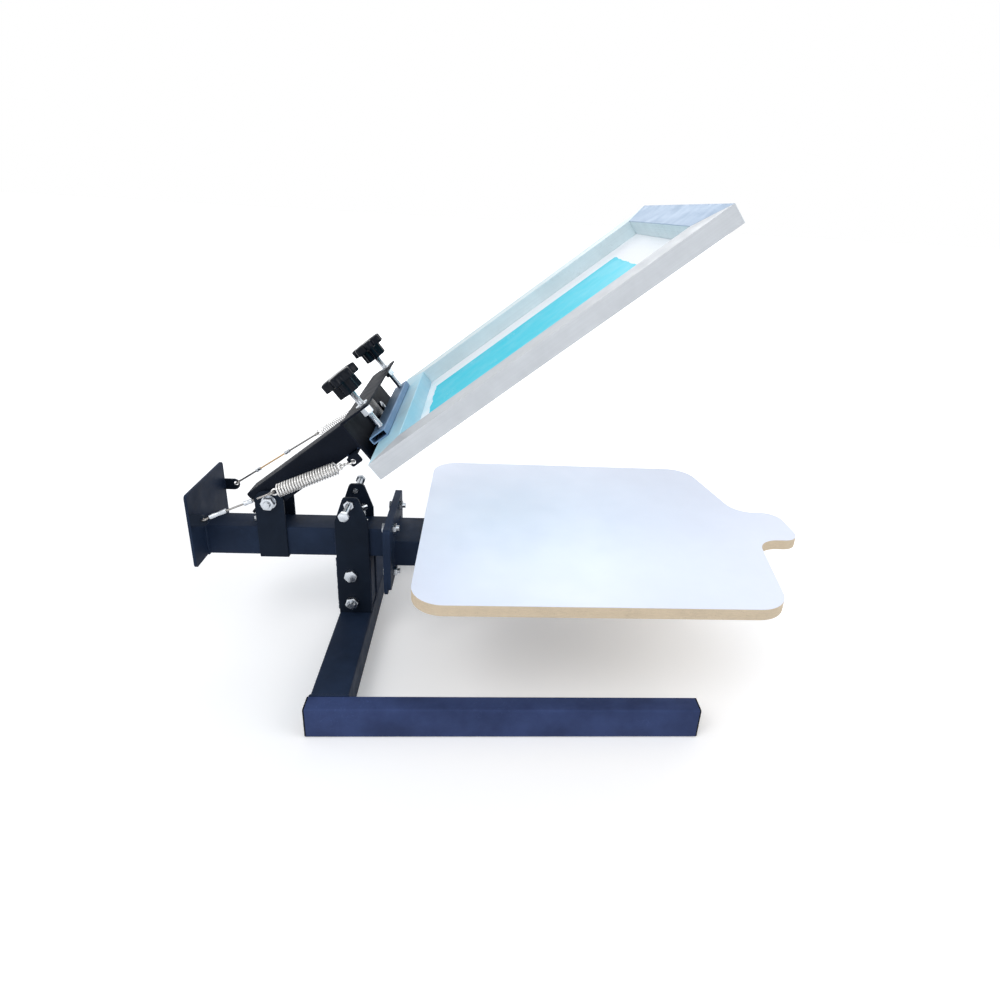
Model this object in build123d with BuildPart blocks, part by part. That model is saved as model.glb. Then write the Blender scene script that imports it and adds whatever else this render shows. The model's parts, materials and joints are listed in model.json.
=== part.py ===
# Tabletop screen printing press: a hinged print arm over a shirt-shaped pallet, on a two-footed stand.
# Millimetres, +Z up. Origin: under the post, in the middle of the cross tube's underside, on the table.
# +X runs from the post to the pallet's tip. The print arm is drawn raised.
from math import cos, radians, sin, tan
import os

from build123d import *

os.makedirs("parts", exist_ok=True)

# ---------------------------------------------------------------- driving dimensions
seat_gap = 0.3           # left between pieces that move past each other
thread_play = 0.05       # radial, a screw in its tapped hole or a pin in its bore

# stand
base_height = 44.0
base_depth = 25.0
base_length = 502.0
base_start_x = -27.5
base_span = 462.0        # over both base tubes
leg_width = 48.0
tube_wall = 2.0
cap_flange = 2.0
cap_plug = 8.0
cap_play = 0.2
post_size = 45.0
beam_size = 45.0
beam_top = 185.0
beam_start_x = -206.0
beam_end_x = 51.0
beam_wall = 2.5

# end plate and spring ears
end_plate_thickness = 4.0
end_plate_width = 128.0
end_plate_height = 110.0
end_plate_corner = 5.0
ear_thickness = 4.0
ear_length = 22.0
ear_height = 17.0
ear_hole_from_top = 7.0
ear_hole_from_end = 5.0
ear_hole_radius = 3.5
ear_flat = 1.0           # straight stretch between the free end's round corners
ear_top = 222.0

# gate plates and their fasteners
gate_thickness = 4.0
gate_width = 47.0
gate_shoulder_z = 198.0
gate_top = 236.0
gate_top_width = 21.0
gate_round = 6.0
gate_bolt_x = -4.0
gate_bolt_heights = (64.0, 110.0)
gate_bolt_radius = 5.0
gate_bolt_tail = 5.0     # thread past the nut

# screws: radius of the thread, head and nut sizes
m8_radius = 4.0
m8_across_flats = 13.0
m8_head = 5.3
m8_nut = 5.0
m10_radius = 5.0
m10_across_flats = 17.0
m10_head = 6.4
m10_nut = 8.0
washer_thickness = 2.0

registration_x = -1.5
registration_z = 225.5
registration_length = 42.0

print_stop_x = 12.0
print_stop_length = 45.0

# hinge
pivot_x = -112.5
pivot_z = 226.5
hinge_plate = 3.0
hinge_width = 40.0
hinge_crown = 16.0       # plate above the pivot
sleeve_radius = 8.0
pivot_tail = 4.0
pivot_washer_radius = 10.5

# print arm, raised by open_angle
open_angle = 38.3
arm_size = 40.0
arm_wall = 2.5
arm_underside = -14.0    # from the pivot, across the arm
arm_tail = -20.0         # along the arm
arm_head = 200.0
tongue_length = 21.0
tongue_width = 16.0
tongue_thickness = 4.0
tongue_height = -4.0     # underside of the tongue, across the arm
raise_stop_x = -138.0
raise_stop_tip = 1.5
raise_stop_travel = 6.0

# clamp head: a channel across the arm's end
head_sheet = 2.5
head_length = 236.0
web_at = 190.0           # rear face of the web, along the arm
flange_top = 40.0
flange_reach = 43.0
lip_reach = 38.0
head_bend = 3.0
screw_at = 221.0
screw_inset = 21.0       # from the head's end
weld_nut = 11.0
washer_top_radius = 8.5
knob_base = 60.0
knob_rim_base = 75.5
knob_top = 88.0
knob_rim_radius = 25.0
knob_hub_radius = 17.0
knob_lobes = 7
knob_edge = 1.5
knob_lobe_share = 0.26   # lobe radius as a share of the knob's
knob_lobe_seat = 0.8     # how far a lobe stands out of the disc, as a share of its radius
knob_root_share = 0.4    # fillet between two lobes, as a share of their radius
knob_bore_rise = 3.0     # the screw's end, above the underside of the rim

# clamp bar
bar_width = 23.0
bar_height = 9.5
bar_inset = 1.0          # from the head's end
bar_wall = 1.5
bar_set_back = 3.5       # the bar's middle, behind the clamp screws
neck_radius = 3.0
neck_head_radius = 4.5
neck_head = 1.6

# screen
frame_at = 212.5         # rear edge of the screen frame, along the arm
frame_length = 465.5
frame_width = 384.6
rail_width = 38.0
frame_thickness = 22.0
frame_underside = -27.0
rail_wall = 2.0
mesh_inset = 5.0
mesh_thickness = 0.3
emulsion_thickness = 0.2
emulsion_start = 265.0
emulsion_end = 589.0
emulsion_width = 196.0

# pallet
pallet_top = 195.0
pallet_start_x = 102.0
board_thickness = 15.0
laminate_thickness = 1.0
pallet_length = 461.0    # to the shoulder line at the pallet's side
pallet_width = 450.0
shoulder_rise = 31.0     # how far the shoulders slope out towards the neck
neck_width = 92.0
neck_length = 67.0       # past the shoulders' slope
near_corner = 42.0
shoulder_corner = 44.0
neck_root = 36.0
neck_corner = 25.0

# pallet arm and its joint with the beam
joint_plate = 5.0
joint_width = 144.0
joint_top = 208.0
beam_joint_bottom = 105.0
arm_joint_bottom = 112.0
joint_bolt_y = 38.0
joint_bolt_heights = (126.0, 196.0)
joint_bolt_tail = 4.0    # thread past the nut
pallet_arm_width = 80.0
pallet_arm_height = 40.0
pallet_arm_end_x = 432.0
pallet_plate_thickness = 4.0
pallet_plate_start_x = 150.0
pallet_plate_length = 250.0
pallet_plate_width = 180.0
pallet_screw_inset = 20.0
pallet_screw_radius = 3.0
pallet_screw_head_radius = 5.5
pallet_screw_head = 2.0
pallet_screw_depth = 10.0

# springs and links
tab_at = 137.7           # hook hole of the arm's spring tab, along the arm
tab_hole_height = -21.5
tab_hole_y = -34.5
tab_length = 18.0
tab_edge = 5.4           # from the hook hole to the tab's tail-side edge
tab_drop = 14.0
tab_sheet = 3.0
anchor_at = 181.0        # hook hole of the rear spring's anchor
anchor_height = 21.0
anchor_y = 45.0
anchor_width = 18.0
anchor_bolt_height = 5.0
anchor_bolt_tail = 2.0   # thread past the nut
anchor_foot = 3.0
anchor_eye = 5.4         # radius of the lug's end
hook_hole_radius = 3.8
hook_wire = 1.4
spoke_share = 0.9        # wire of a coil's end spoke, as a share of the coil's wire
hook_play = 0.2          # between rings that hang in each other
hook_ring = 4.0
hook_eye = 5.0           # radius of the hooks in the arm's tab and anchor
hook_lead = 1.7          # past the middle of its hole while the arm is raised
front_coil_radius = 9.4
front_coil_wire = 1.3
front_coil_pitch = 3.9
front_coil_start = 106.0  # from the ear hole, along the link
back_coil_radius = 5.0
back_coil_wire = 0.6
back_coil_pitch = 3.4
back_coil_start = 166.0
hook_reach = 24.0         # coil's end to the hook hole
ferrule_radius = 2.8
front_ferrules = ((9.0, 24.0), (58.0, 12.0))  # place and length along the link
back_ferrules = ((40.0, 9.0), (96.0, 9.0))

# ---------------------------------------------------------------- sizes that follow
base_side = base_span / 2
base_axis = base_side - base_depth / 2
beam_bottom = beam_top - beam_size
beam_half = beam_size / 2
gate_outside = beam_half + gate_thickness
arm_half = arm_size / 2
hinge_outside = beam_half + hinge_plate
pivot_clear = m10_radius + thread_play
frame_top = frame_underside + frame_thickness
bar_underside = frame_top + seat_gap
bar_top = bar_underside + bar_height
neck_head_top = bar_top - bar_wall - seat_gap
knob_bore_top = knob_rim_base + knob_bore_rise
lip_top = frame_underside - mesh_thickness - seat_gap
lip_underside = lip_top - head_sheet
screw_spacing = head_length - 2 * screw_inset
bar_length = head_length - 2 * bar_inset
flange_underside = flange_top - head_sheet
print_stop_top = pivot_z + arm_underside - seat_gap
pallet_arm_top = pallet_top - laminate_thickness - board_thickness - pallet_plate_thickness
joint_split_x = beam_end_x + joint_plate
joint_end_x = joint_split_x + joint_plate
ear_hole_x = beam_start_x + ear_length - ear_hole_from_end
ear_hole_z = ear_top - ear_hole_from_top
ear_y = end_plate_width / 2 - ear_thickness / 2

# directions of the raised arm
along = Vector(cos(radians(open_angle)), 0, sin(radians(open_angle)))
across = Vector(-sin(radians(open_angle)), 0, cos(radians(open_angle)))
sideways = Vector(0, 1, 0)
pivot = Vector(pivot_x, 0, pivot_z)


def arm_point(distance, y, height):
    """A point of the raised arm, from the pivot: along it, sideways and across it."""
    return pivot + along * distance + sideways * y + across * height


def arm_side(y=0.0):
    """Plane of the arm's side profile: x along the arm, y across it, normal to the front."""
    return Plane(origin=arm_point(0, y, 0), x_dir=along, z_dir=-sideways)


def arm_section(distance, y=0.0, height=0.0):
    """Plane that cuts the arm square: x sideways, y across the arm, normal along it."""
    return Plane(origin=arm_point(distance, y, height), x_dir=sideways, z_dir=along)


def arm_level(distance, y, height):
    """Plane that lies flat on the arm: x along it, y sideways, normal across it."""
    return Plane(origin=arm_point(distance, y, height), x_dir=along, z_dir=across)


def facing(x, y, z, direction):
    """Plane for a fastener, with its normal pointing out of the head."""
    return Plane(origin=(x, y, z), z_dir=direction)


def hex_bolt(plane, across_flats, head, radius, length):
    """Hexagon bolt whose head stands on the plane and whose shank runs back from it."""
    with BuildPart() as bolt:
        with BuildSketch(plane):
            RegularPolygon(radius=across_flats / 2, side_count=6, major_radius=False)
        extrude(amount=head)
        with BuildSketch(plane):
            Circle(radius)
        extrude(amount=-length)
    return bolt.part


def hex_nut(plane, across_flats, thickness, radius):
    """Nut that stands on the plane."""
    with BuildPart() as nut:
        with BuildSketch(plane):
            RegularPolygon(radius=across_flats / 2, side_count=6, major_radius=False)
            Circle(radius, mode=Mode.SUBTRACT)
        extrude(amount=thickness)
    return nut.part


def washer(plane, outer_radius, radius, thickness):
    """Washer that stands on the plane."""
    with BuildPart() as ring:
        with BuildSketch(plane):
            Circle(outer_radius)
            Circle(radius, mode=Mode.SUBTRACT)
        extrude(amount=thickness)
    return ring.part


# ---------------------------------------------------------------- base tubes and cross tube
with BuildPart() as base_front_tube:
    with BuildSketch(Plane.YZ.offset(base_start_x + cap_flange)):
        with Locations((-base_axis, base_height / 2)):
            Rectangle(base_depth, base_height)
            Rectangle(base_depth - 2 * tube_wall, base_height - 2 * tube_wall, mode=Mode.SUBTRACT)
    extrude(amount=base_length - 2 * cap_flange)
base_front_tube.part.label = "base_front_tube"
export_step(base_front_tube.part, "parts/base_front_tube.step")

with BuildPart() as base_rear_tube:
    add(base_front_tube.part)
    mirror(about=Plane.XZ, mode=Mode.REPLACE)
base_rear_tube.part.label = "base_rear_tube"
export_step(base_rear_tube.part, "parts/base_rear_tube.step")

with BuildPart() as base_end_caps:
    for cap_x, inward in ((base_start_x, 1), (base_start_x + base_length, -1)):
        with BuildSketch(Plane.YZ.offset(cap_x)):
            with Locations((-base_axis, base_height / 2), (base_axis, base_height / 2)):
                Rectangle(base_depth, base_height)
        extrude(amount=inward * cap_flange)
        with BuildSketch(Plane.YZ.offset(cap_x + inward * cap_flange)):
            with Locations((-base_axis, base_height / 2), (base_axis, base_height / 2)):
                Rectangle(
                    base_depth - 2 * tube_wall - cap_play, base_height - 2 * tube_wall - cap_play
                )
        extrude(amount=inward * cap_plug)
base_end_caps.part.label = "base_end_caps"
export_step(base_end_caps.part, "parts/base_end_caps.step")

with BuildPart() as base_cross_tube:
    with BuildSketch(Plane.XZ):
        with Locations((0, base_height / 2)):
            Rectangle(leg_width, base_height)
            Rectangle(leg_width - 2 * tube_wall, base_height - 2 * tube_wall, mode=Mode.SUBTRACT)
    extrude(amount=base_side - base_depth, both=True)
base_cross_tube.part.label = "base_cross_tube"
export_step(base_cross_tube.part, "parts/base_cross_tube.step")

# ---------------------------------------------------------------- post and beam
with BuildPart() as post:
    with BuildSketch(Plane.XY.offset(base_height)):
        Rectangle(post_size, post_size)
        Rectangle(post_size - 2 * beam_wall, post_size - 2 * beam_wall, mode=Mode.SUBTRACT)
    extrude(amount=beam_bottom - base_height)
    with BuildSketch(Plane.XZ):
        with Locations([(gate_bolt_x, z) for z in gate_bolt_heights]):
            Circle(gate_bolt_radius + thread_play)
    extrude(amount=post_size, both=True, mode=Mode.SUBTRACT)
post.part.label = "post"
export_step(post.part, "parts/post.step")

with BuildPart() as beam:
    with BuildSketch(Plane.YZ.offset(beam_start_x)):
        with Locations((0, beam_top - beam_half)):
            Rectangle(beam_size, beam_size)
            Rectangle(beam_size - 2 * beam_wall, beam_size - 2 * beam_wall, mode=Mode.SUBTRACT)
    extrude(amount=beam_end_x - beam_start_x)
    with BuildSketch(Plane.XY.offset(beam_top)):
        with Locations((print_stop_x, 0), (raise_stop_x, 0)):
            Circle(m8_radius + thread_play)
    extrude(amount=-2 * beam_wall, mode=Mode.SUBTRACT)
beam.part.label = "beam"
export_step(beam.part, "parts/beam.step")

# ---------------------------------------------------------------- end plate and spring ears
with BuildPart() as end_plate:
    with BuildSketch(Plane.YZ.offset(beam_start_x)):
        with Locations((0, beam_bottom + end_plate_height / 2)):
            RectangleRounded(end_plate_width, end_plate_height, end_plate_corner)
    extrude(amount=-end_plate_thickness)
end_plate.part.label = "end_plate"
export_step(end_plate.part, "parts/end_plate.step")

with BuildPart() as spring_ears:
    for side in (-1, 1):
        with BuildSketch(Plane.XZ.offset(-side * ear_y)):
            with Locations((beam_start_x + ear_length / 2, ear_top - ear_height / 2)):
                Rectangle(ear_length, ear_height)
            tips = vertices(Select.LAST).group_by(Axis.X)[-1]
            fillet(tips, (ear_height - ear_flat) / 2)
            with Locations((ear_hole_x, ear_hole_z)):
                Circle(ear_hole_radius, mode=Mode.SUBTRACT)
        extrude(amount=ear_thickness / 2, both=True)
spring_ears.part.label = "spring_ears"
export_step(spring_ears.part, "parts/spring_ears.step")

# ---------------------------------------------------------------- gate plates and their fasteners
for side, place in ((-1, "front"), (1, "back")):
    with BuildPart() as gate_plate:
        with BuildSketch(Plane.XZ.offset(-side * beam_half)):
            with BuildLine():
                Polyline(
                    (-gate_width / 2, base_height),
                    (gate_width / 2, base_height),
                    (gate_width / 2, gate_shoulder_z),
                    (gate_top_width / 2, gate_top),
                    (-gate_top_width / 2, gate_top),
                    (-gate_width / 2, gate_shoulder_z),
                    close=True,
                )
            make_face()
            fillet(vertices().group_by(Axis.Y)[-1], gate_round)
            with Locations([(gate_bolt_x, z) for z in gate_bolt_heights]):
                Circle(gate_bolt_radius + thread_play, mode=Mode.SUBTRACT)
            with Locations((registration_x, registration_z)):
                Circle(m8_radius + thread_play, mode=Mode.SUBTRACT)
        extrude(amount=-side * gate_thickness)
    gate_plate.part.label = f"{place}_gate_plate"
    export_step(gate_plate.part, f"parts/{place}_gate_plate.step")

gate_grip = 2 * gate_outside
with BuildPart() as gate_bolts:
    for side, z in zip((1, -1), gate_bolt_heights):
        add(
            hex_bolt(
                facing(gate_bolt_x, side * gate_outside, z, (0, side, 0)),
                m10_across_flats,
                m10_head,
                gate_bolt_radius,
                gate_grip + m10_nut + gate_bolt_tail,
            )
        )
gate_bolts.part.label = "gate_bolts"
export_step(gate_bolts.part, "parts/gate_bolts.step")

with BuildPart() as gate_nuts:
    for side, z in zip((-1, 1), gate_bolt_heights):
        add(
            hex_nut(
                facing(gate_bolt_x, side * gate_outside, z, (0, side, 0)),
                m10_across_flats,
                m10_nut,
                gate_bolt_radius,
            )
        )
gate_nuts.part.label = "gate_nuts"
export_step(gate_nuts.part, "parts/gate_nuts.step")

# the registration screws stop just short of the lowered arm's sides
with BuildPart() as registration_lock_nuts:
    for side in (-1, 1):
        add(
            hex_nut(
                facing(registration_x, side * gate_outside, registration_z, (0, side, 0)),
                m8_across_flats,
                m8_nut,
                m8_radius + thread_play,
            )
        )
registration_lock_nuts.part.label = "registration_lock_nuts"
export_step(registration_lock_nuts.part, "parts/registration_lock_nuts.step")

registration_tip = arm_half + seat_gap
for side, place in ((-1, "front"), (1, "back")):
    head_y = side * (registration_tip + registration_length)
    with BuildPart() as registration_screw:
        add(
            hex_bolt(
                facing(registration_x, head_y, registration_z, (0, side, 0)),
                m8_across_flats,
                m8_head,
                m8_radius,
                registration_length,
            )
        )
    registration_screw.part.label = f"{place}_registration_screw"
    export_step(registration_screw.part, f"parts/{place}_registration_screw.step")

# ---------------------------------------------------------------- stop screws in the beam's top
with BuildPart() as print_stop_screw:
    add(
        hex_bolt(
            facing(print_stop_x, 0, print_stop_top - m8_head, (0, 0, 1)),
            m8_across_flats,
            m8_head,
            m8_radius,
            print_stop_length,
        )
    )
print_stop_screw.part.label = "print_stop_screw"
export_step(print_stop_screw.part, "parts/print_stop_screw.step")

# the stud's blunt tip stands just under the raised arm's tongue
tongue_slope = tan(radians(open_angle))
tongue_level = (
    pivot_z
    + tongue_height / cos(radians(open_angle))
    + (raise_stop_x - raise_stop_tip - pivot_x) * tongue_slope
)
stud_top = tongue_level - seat_gap
stud_bottom = beam_bottom + beam_wall + raise_stop_travel + seat_gap
with BuildPart() as raise_stop_stud:
    with BuildSketch(Plane.XY.offset(stud_bottom)):
        with Locations((raise_stop_x, 0)):
            Circle(m8_radius)
    extrude(amount=stud_top - stud_bottom)
    tip = edges().group_by(Axis.Z)[-1]
    chamfer(tip, m8_radius - raise_stop_tip)
raise_stop_stud.part.label = "raise_stop_stud"
export_step(raise_stop_stud.part, "parts/raise_stop_stud.step")

with BuildPart() as stop_lock_nuts:
    for x in (print_stop_x, raise_stop_x):
        add(
            hex_nut(
                facing(x, 0, beam_top, (0, 0, 1)),
                m8_across_flats,
                m8_nut,
                m8_radius + thread_play,
            )
        )
stop_lock_nuts.part.label = "stop_lock_nuts"
export_step(stop_lock_nuts.part, "parts/stop_lock_nuts.step")

# ---------------------------------------------------------------- hinge bracket and pivot
hinge_bottom = beam_bottom - hinge_plate
hinge_top = pivot_z + hinge_crown
with BuildPart() as hinge_bracket:
    with BuildSketch(Plane.XZ):
        with Locations((pivot_x, (hinge_bottom + hinge_top) / 2)):
            Rectangle(hinge_width, hinge_top - hinge_bottom)
        fillet(vertices().group_by(Axis.Y)[-1], hinge_crown)
    extrude(amount=hinge_outside, both=True)
    with BuildSketch(Plane.YZ.offset(pivot_x)):
        with Locations((0, (beam_bottom + hinge_top) / 2)):
            Rectangle(beam_size, hinge_top - beam_bottom)
    extrude(amount=hinge_width, both=True, mode=Mode.SUBTRACT)
    with BuildSketch(Plane.XZ):
        with Locations((pivot_x, pivot_z)):
            Circle(pivot_clear)
    extrude(amount=beam_size, both=True, mode=Mode.SUBTRACT)
    fillet(edges().filter_by(Axis.X).group_by(Axis.Z)[0], hinge_plate)
hinge_bracket.part.label = "hinge_bracket"
export_step(hinge_bracket.part, "parts/hinge_bracket.step")

washer_outside = hinge_outside + washer_thickness
with BuildPart() as pivot_bolt:
    add(
        hex_bolt(
            facing(pivot_x, washer_outside, pivot_z, (0, 1, 0)),
            m10_across_flats,
            m10_head,
            m10_radius,
            2 * washer_outside + m10_nut + pivot_tail,
        )
    )
pivot_bolt.part.label = "pivot_bolt"
export_step(pivot_bolt.part, "parts/pivot_bolt.step")

with BuildPart() as pivot_nut:
    add(
        hex_nut(
            facing(pivot_x, -washer_outside, pivot_z, (0, -1, 0)),
            m10_across_flats,
            m10_nut,
            m10_radius,
        )
    )
pivot_nut.part.label = "pivot_nut"
export_step(pivot_nut.part, "parts/pivot_nut.step")

with BuildPart() as pivot_washers:
    for side in (-1, 1):
        add(
            washer(
                facing(pivot_x, side * hinge_outside, pivot_z, (0, side, 0)),
                pivot_washer_radius,
                pivot_clear,
                washer_thickness,
            )
        )
pivot_washers.part.label = "pivot_washers"
export_step(pivot_washers.part, "parts/pivot_washers.step")

with BuildPart() as pivot_sleeve:
    with BuildSketch(Plane.XZ):
        with Locations((pivot_x, pivot_z)):
            Circle(sleeve_radius)
            Circle(pivot_clear, mode=Mode.SUBTRACT)
    extrude(amount=beam_half - seat_gap, both=True)
pivot_sleeve.part.label = "pivot_sleeve"
export_step(pivot_sleeve.part, "parts/pivot_sleeve.step")

# ---------------------------------------------------------------- joint plates between beam and pallet arm
joint_bolt_places = [(side * joint_bolt_y, z) for side in (-1, 1) for z in joint_bolt_heights]
with BuildPart() as beam_flange:
    with BuildSketch(Plane.YZ.offset(beam_end_x)):
        with Locations((0, (joint_top + beam_joint_bottom) / 2)):
            RectangleRounded(joint_width, joint_top - beam_joint_bottom, end_plate_corner)
        with Locations(joint_bolt_places):
            Circle(m8_radius + thread_play, mode=Mode.SUBTRACT)
    extrude(amount=joint_plate)
beam_flange.part.label = "beam_flange"
export_step(beam_flange.part, "parts/beam_flange.step")

with BuildPart() as pallet_flange:
    with BuildSketch(Plane.YZ.offset(joint_split_x)):
        with Locations((0, (joint_top + arm_joint_bottom) / 2)):
            RectangleRounded(joint_width, joint_top - arm_joint_bottom, end_plate_corner)
        with Locations(joint_bolt_places):
            Circle(m8_radius + thread_play, mode=Mode.SUBTRACT)
    extrude(amount=joint_plate)
pallet_flange.part.label = "pallet_flange"
export_step(pallet_flange.part, "parts/pallet_flange.step")

with BuildPart() as flange_bolts:
    for y, z in joint_bolt_places:
        add(
            hex_bolt(
                facing(beam_end_x, y, z, (-1, 0, 0)),
                m8_across_flats,
                m8_head,
                m8_radius,
                2 * joint_plate + m8_nut + joint_bolt_tail,
            )
        )
flange_bolts.part.label = "flange_bolts"
export_step(flange_bolts.part, "parts/flange_bolts.step")

with BuildPart() as flange_nuts:
    for y, z in joint_bolt_places:
        add(hex_nut(facing(joint_end_x, y, z, (1, 0, 0)), m8_across_flats, m8_nut, m8_radius))
flange_nuts.part.label = "flange_nuts"
export_step(flange_nuts.part, "parts/flange_nuts.step")

# ---------------------------------------------------------------- pallet arm and pallet
pallet_arm_axis = pallet_arm_top - pallet_arm_height / 2
with BuildPart() as pallet_arm:
    with BuildSketch(Plane.YZ.offset(joint_end_x)):
        with Locations((0, pallet_arm_axis)):
            Rectangle(pallet_arm_width, pallet_arm_height)
            Rectangle(
                pallet_arm_width - 2 * beam_wall,
                pallet_arm_height - 2 * beam_wall,
                mode=Mode.SUBTRACT,
            )
    extrude(amount=pallet_arm_end_x - joint_end_x)
pallet_arm.part.label = "pallet_arm"
export_step(pallet_arm.part, "parts/pallet_arm.step")

with BuildPart() as pallet_arm_plug:
    with BuildSketch(Plane.YZ.offset(pallet_arm_end_x)):
        with Locations((0, pallet_arm_axis)):
            Rectangle(pallet_arm_width, pallet_arm_height)
    extrude(amount=cap_flange)
    with BuildSketch(Plane.YZ.offset(pallet_arm_end_x)):
        with Locations((0, pallet_arm_axis)):
            Rectangle(
                pallet_arm_width - 2 * beam_wall - cap_play,
                pallet_arm_height - 2 * beam_wall - cap_play,
            )
    extrude(amount=-cap_plug)
pallet_arm_plug.part.label = "pallet_arm_plug"
export_step(pallet_arm_plug.part, "parts/pallet_arm_plug.step")

plate_middle_x = pallet_plate_start_x + pallet_plate_length / 2
pallet_screw_places = GridLocations(
    pallet_plate_length - 2 * pallet_screw_inset,
    pallet_plate_width - 2 * pallet_screw_inset,
    2,
    2,
)
with BuildPart() as pallet_plate:
    with BuildSketch(Plane(origin=(plate_middle_x, 0, pallet_arm_top))):
        Rectangle(pallet_plate_length, pallet_plate_width)
        with Locations(pallet_screw_places.local_locations):
            Circle(pallet_screw_radius, mode=Mode.SUBTRACT)
    extrude(amount=pallet_plate_thickness)
pallet_plate.part.label = "pallet_plate"
export_step(pallet_plate.part, "parts/pallet_plate.step")

with BuildPart() as pallet_screws:
    with BuildSketch(Plane(origin=(plate_middle_x, 0, pallet_arm_top))):
        with Locations(pallet_screw_places.local_locations):
            Circle(pallet_screw_head_radius)
    extrude(amount=-pallet_screw_head)
    with BuildSketch(Plane(origin=(plate_middle_x, 0, pallet_arm_top))):
        with Locations(pallet_screw_places.local_locations):
            Circle(pallet_screw_radius)
    extrude(amount=pallet_plate_thickness + pallet_screw_depth)
pallet_screws.part.label = "pallet_screws"
export_step(pallet_screws.part, "parts/pallet_screws.step")


def pallet_outline():
    """Shirt-shaped outline of the pallet, in the sketch being built, with the near edge at x = 0."""
    half = pallet_width / 2
    neck = neck_width / 2
    root_x = pallet_length + shoulder_rise
    neck_end = root_x + neck_length
    with BuildLine() as outline:
        Polyline(
            (0, -half),
            (pallet_length, -half),
            (root_x, -neck),
            (neck_end, -neck),
            (neck_end, neck),
            (root_x, neck),
            (pallet_length, half),
            (0, half),
            close=True,
        )
    make_face(outline.edges())
    for corner_x, radius in (
        (0, near_corner),
        (pallet_length, shoulder_corner),
        (root_x, neck_root),
        (neck_end, neck_corner),
    ):
        corners = vertices().filter_by_position(Axis.X, corner_x - seat_gap, corner_x + seat_gap)
        fillet(corners, radius)


board_top = pallet_top - laminate_thickness
with BuildPart() as pallet_board:
    with BuildSketch(Plane(origin=(pallet_start_x, 0, board_top))):
        pallet_outline()
    extrude(amount=-board_thickness)
    with BuildSketch(Plane(origin=(plate_middle_x, 0, board_top - board_thickness))):
        with Locations(pallet_screw_places.local_locations):
            Circle(pallet_screw_radius)
    extrude(amount=pallet_screw_depth, mode=Mode.SUBTRACT)
pallet_board.part.label = "pallet_board"
export_step(pallet_board.part, "parts/pallet_board.step")

with BuildPart() as pallet_laminate:
    with BuildSketch(Plane(origin=(pallet_start_x, 0, board_top))):
        pallet_outline()
    extrude(amount=laminate_thickness)
pallet_laminate.part.label = "pallet_laminate"
export_step(pallet_laminate.part, "parts/pallet_laminate.step")

# ---------------------------------------------------------------- print arm
arm_middle = arm_underside + arm_half
arm_tube_start = arm_tail + cap_flange
arm_tube_end = arm_head - cap_flange
arm_hollow = arm_size - 2 * arm_wall
with BuildPart() as print_arm:
    with BuildSketch(arm_section(arm_tube_start, 0, arm_middle)):
        Rectangle(arm_size, arm_size)
        Rectangle(arm_hollow, arm_hollow, mode=Mode.SUBTRACT)
    extrude(amount=arm_tube_end - arm_tube_start)
    with BuildSketch(arm_side()):
        Circle(sleeve_radius)
    extrude(amount=arm_size, both=True, mode=Mode.SUBTRACT)
print_arm.part.label = "print_arm"
export_step(print_arm.part, "parts/print_arm.step")

with BuildPart() as arm_plugs:
    for plug_at, inward in ((arm_tube_start, 1), (arm_tube_end, -1)):
        with BuildSketch(arm_section(plug_at, 0, arm_middle)):
            Rectangle(arm_size, arm_size)
        extrude(amount=-inward * cap_flange)
        with BuildSketch(arm_section(plug_at, 0, arm_middle)):
            Rectangle(arm_hollow - cap_play, arm_hollow - cap_play)
        extrude(amount=inward * (cap_plug - cap_flange))
arm_plugs.part.label = "arm_plugs"
export_step(arm_plugs.part, "parts/arm_plugs.step")

# tongue on the arm's tail that lands on the raise stop's stud
with BuildPart() as raise_stop_tongue:
    with BuildSketch(arm_level(arm_tail, 0, tongue_height)):
        with Locations((-tongue_length / 2, 0)):
            Rectangle(tongue_length, tongue_width)
        fillet(vertices().group_by(Axis.X)[0], tongue_thickness)
    extrude(amount=tongue_thickness)
raise_stop_tongue.part.label = "raise_stop_tongue"
export_step(raise_stop_tongue.part, "parts/raise_stop_tongue.step")

# angle under the arm for the front spring's hook
tab_outside = tab_hole_y - tab_sheet / 2
tab_middle = tab_at - tab_edge + tab_length / 2
with BuildPart() as spring_tab:
    with BuildSketch(arm_side(tab_hole_y)):
        with Locations((tab_middle, arm_underside - tab_drop / 2)):
            Rectangle(tab_length, tab_drop)
        fillet(vertices().group_by(Axis.Y)[0], tab_sheet)
        with Locations((tab_at, tab_hole_height)):
            Circle(hook_hole_radius, mode=Mode.SUBTRACT)
    extrude(amount=tab_sheet / 2, both=True)
    with BuildSketch(arm_level(tab_middle, 0, arm_underside)):
        with Locations((0, (tab_outside - arm_half / 2) / 2)):
            Rectangle(tab_length, -arm_half / 2 - tab_outside)
    extrude(amount=-tab_sheet)
spring_tab.part.label = "spring_tab"
export_step(spring_tab.part, "parts/spring_tab.step")

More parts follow.
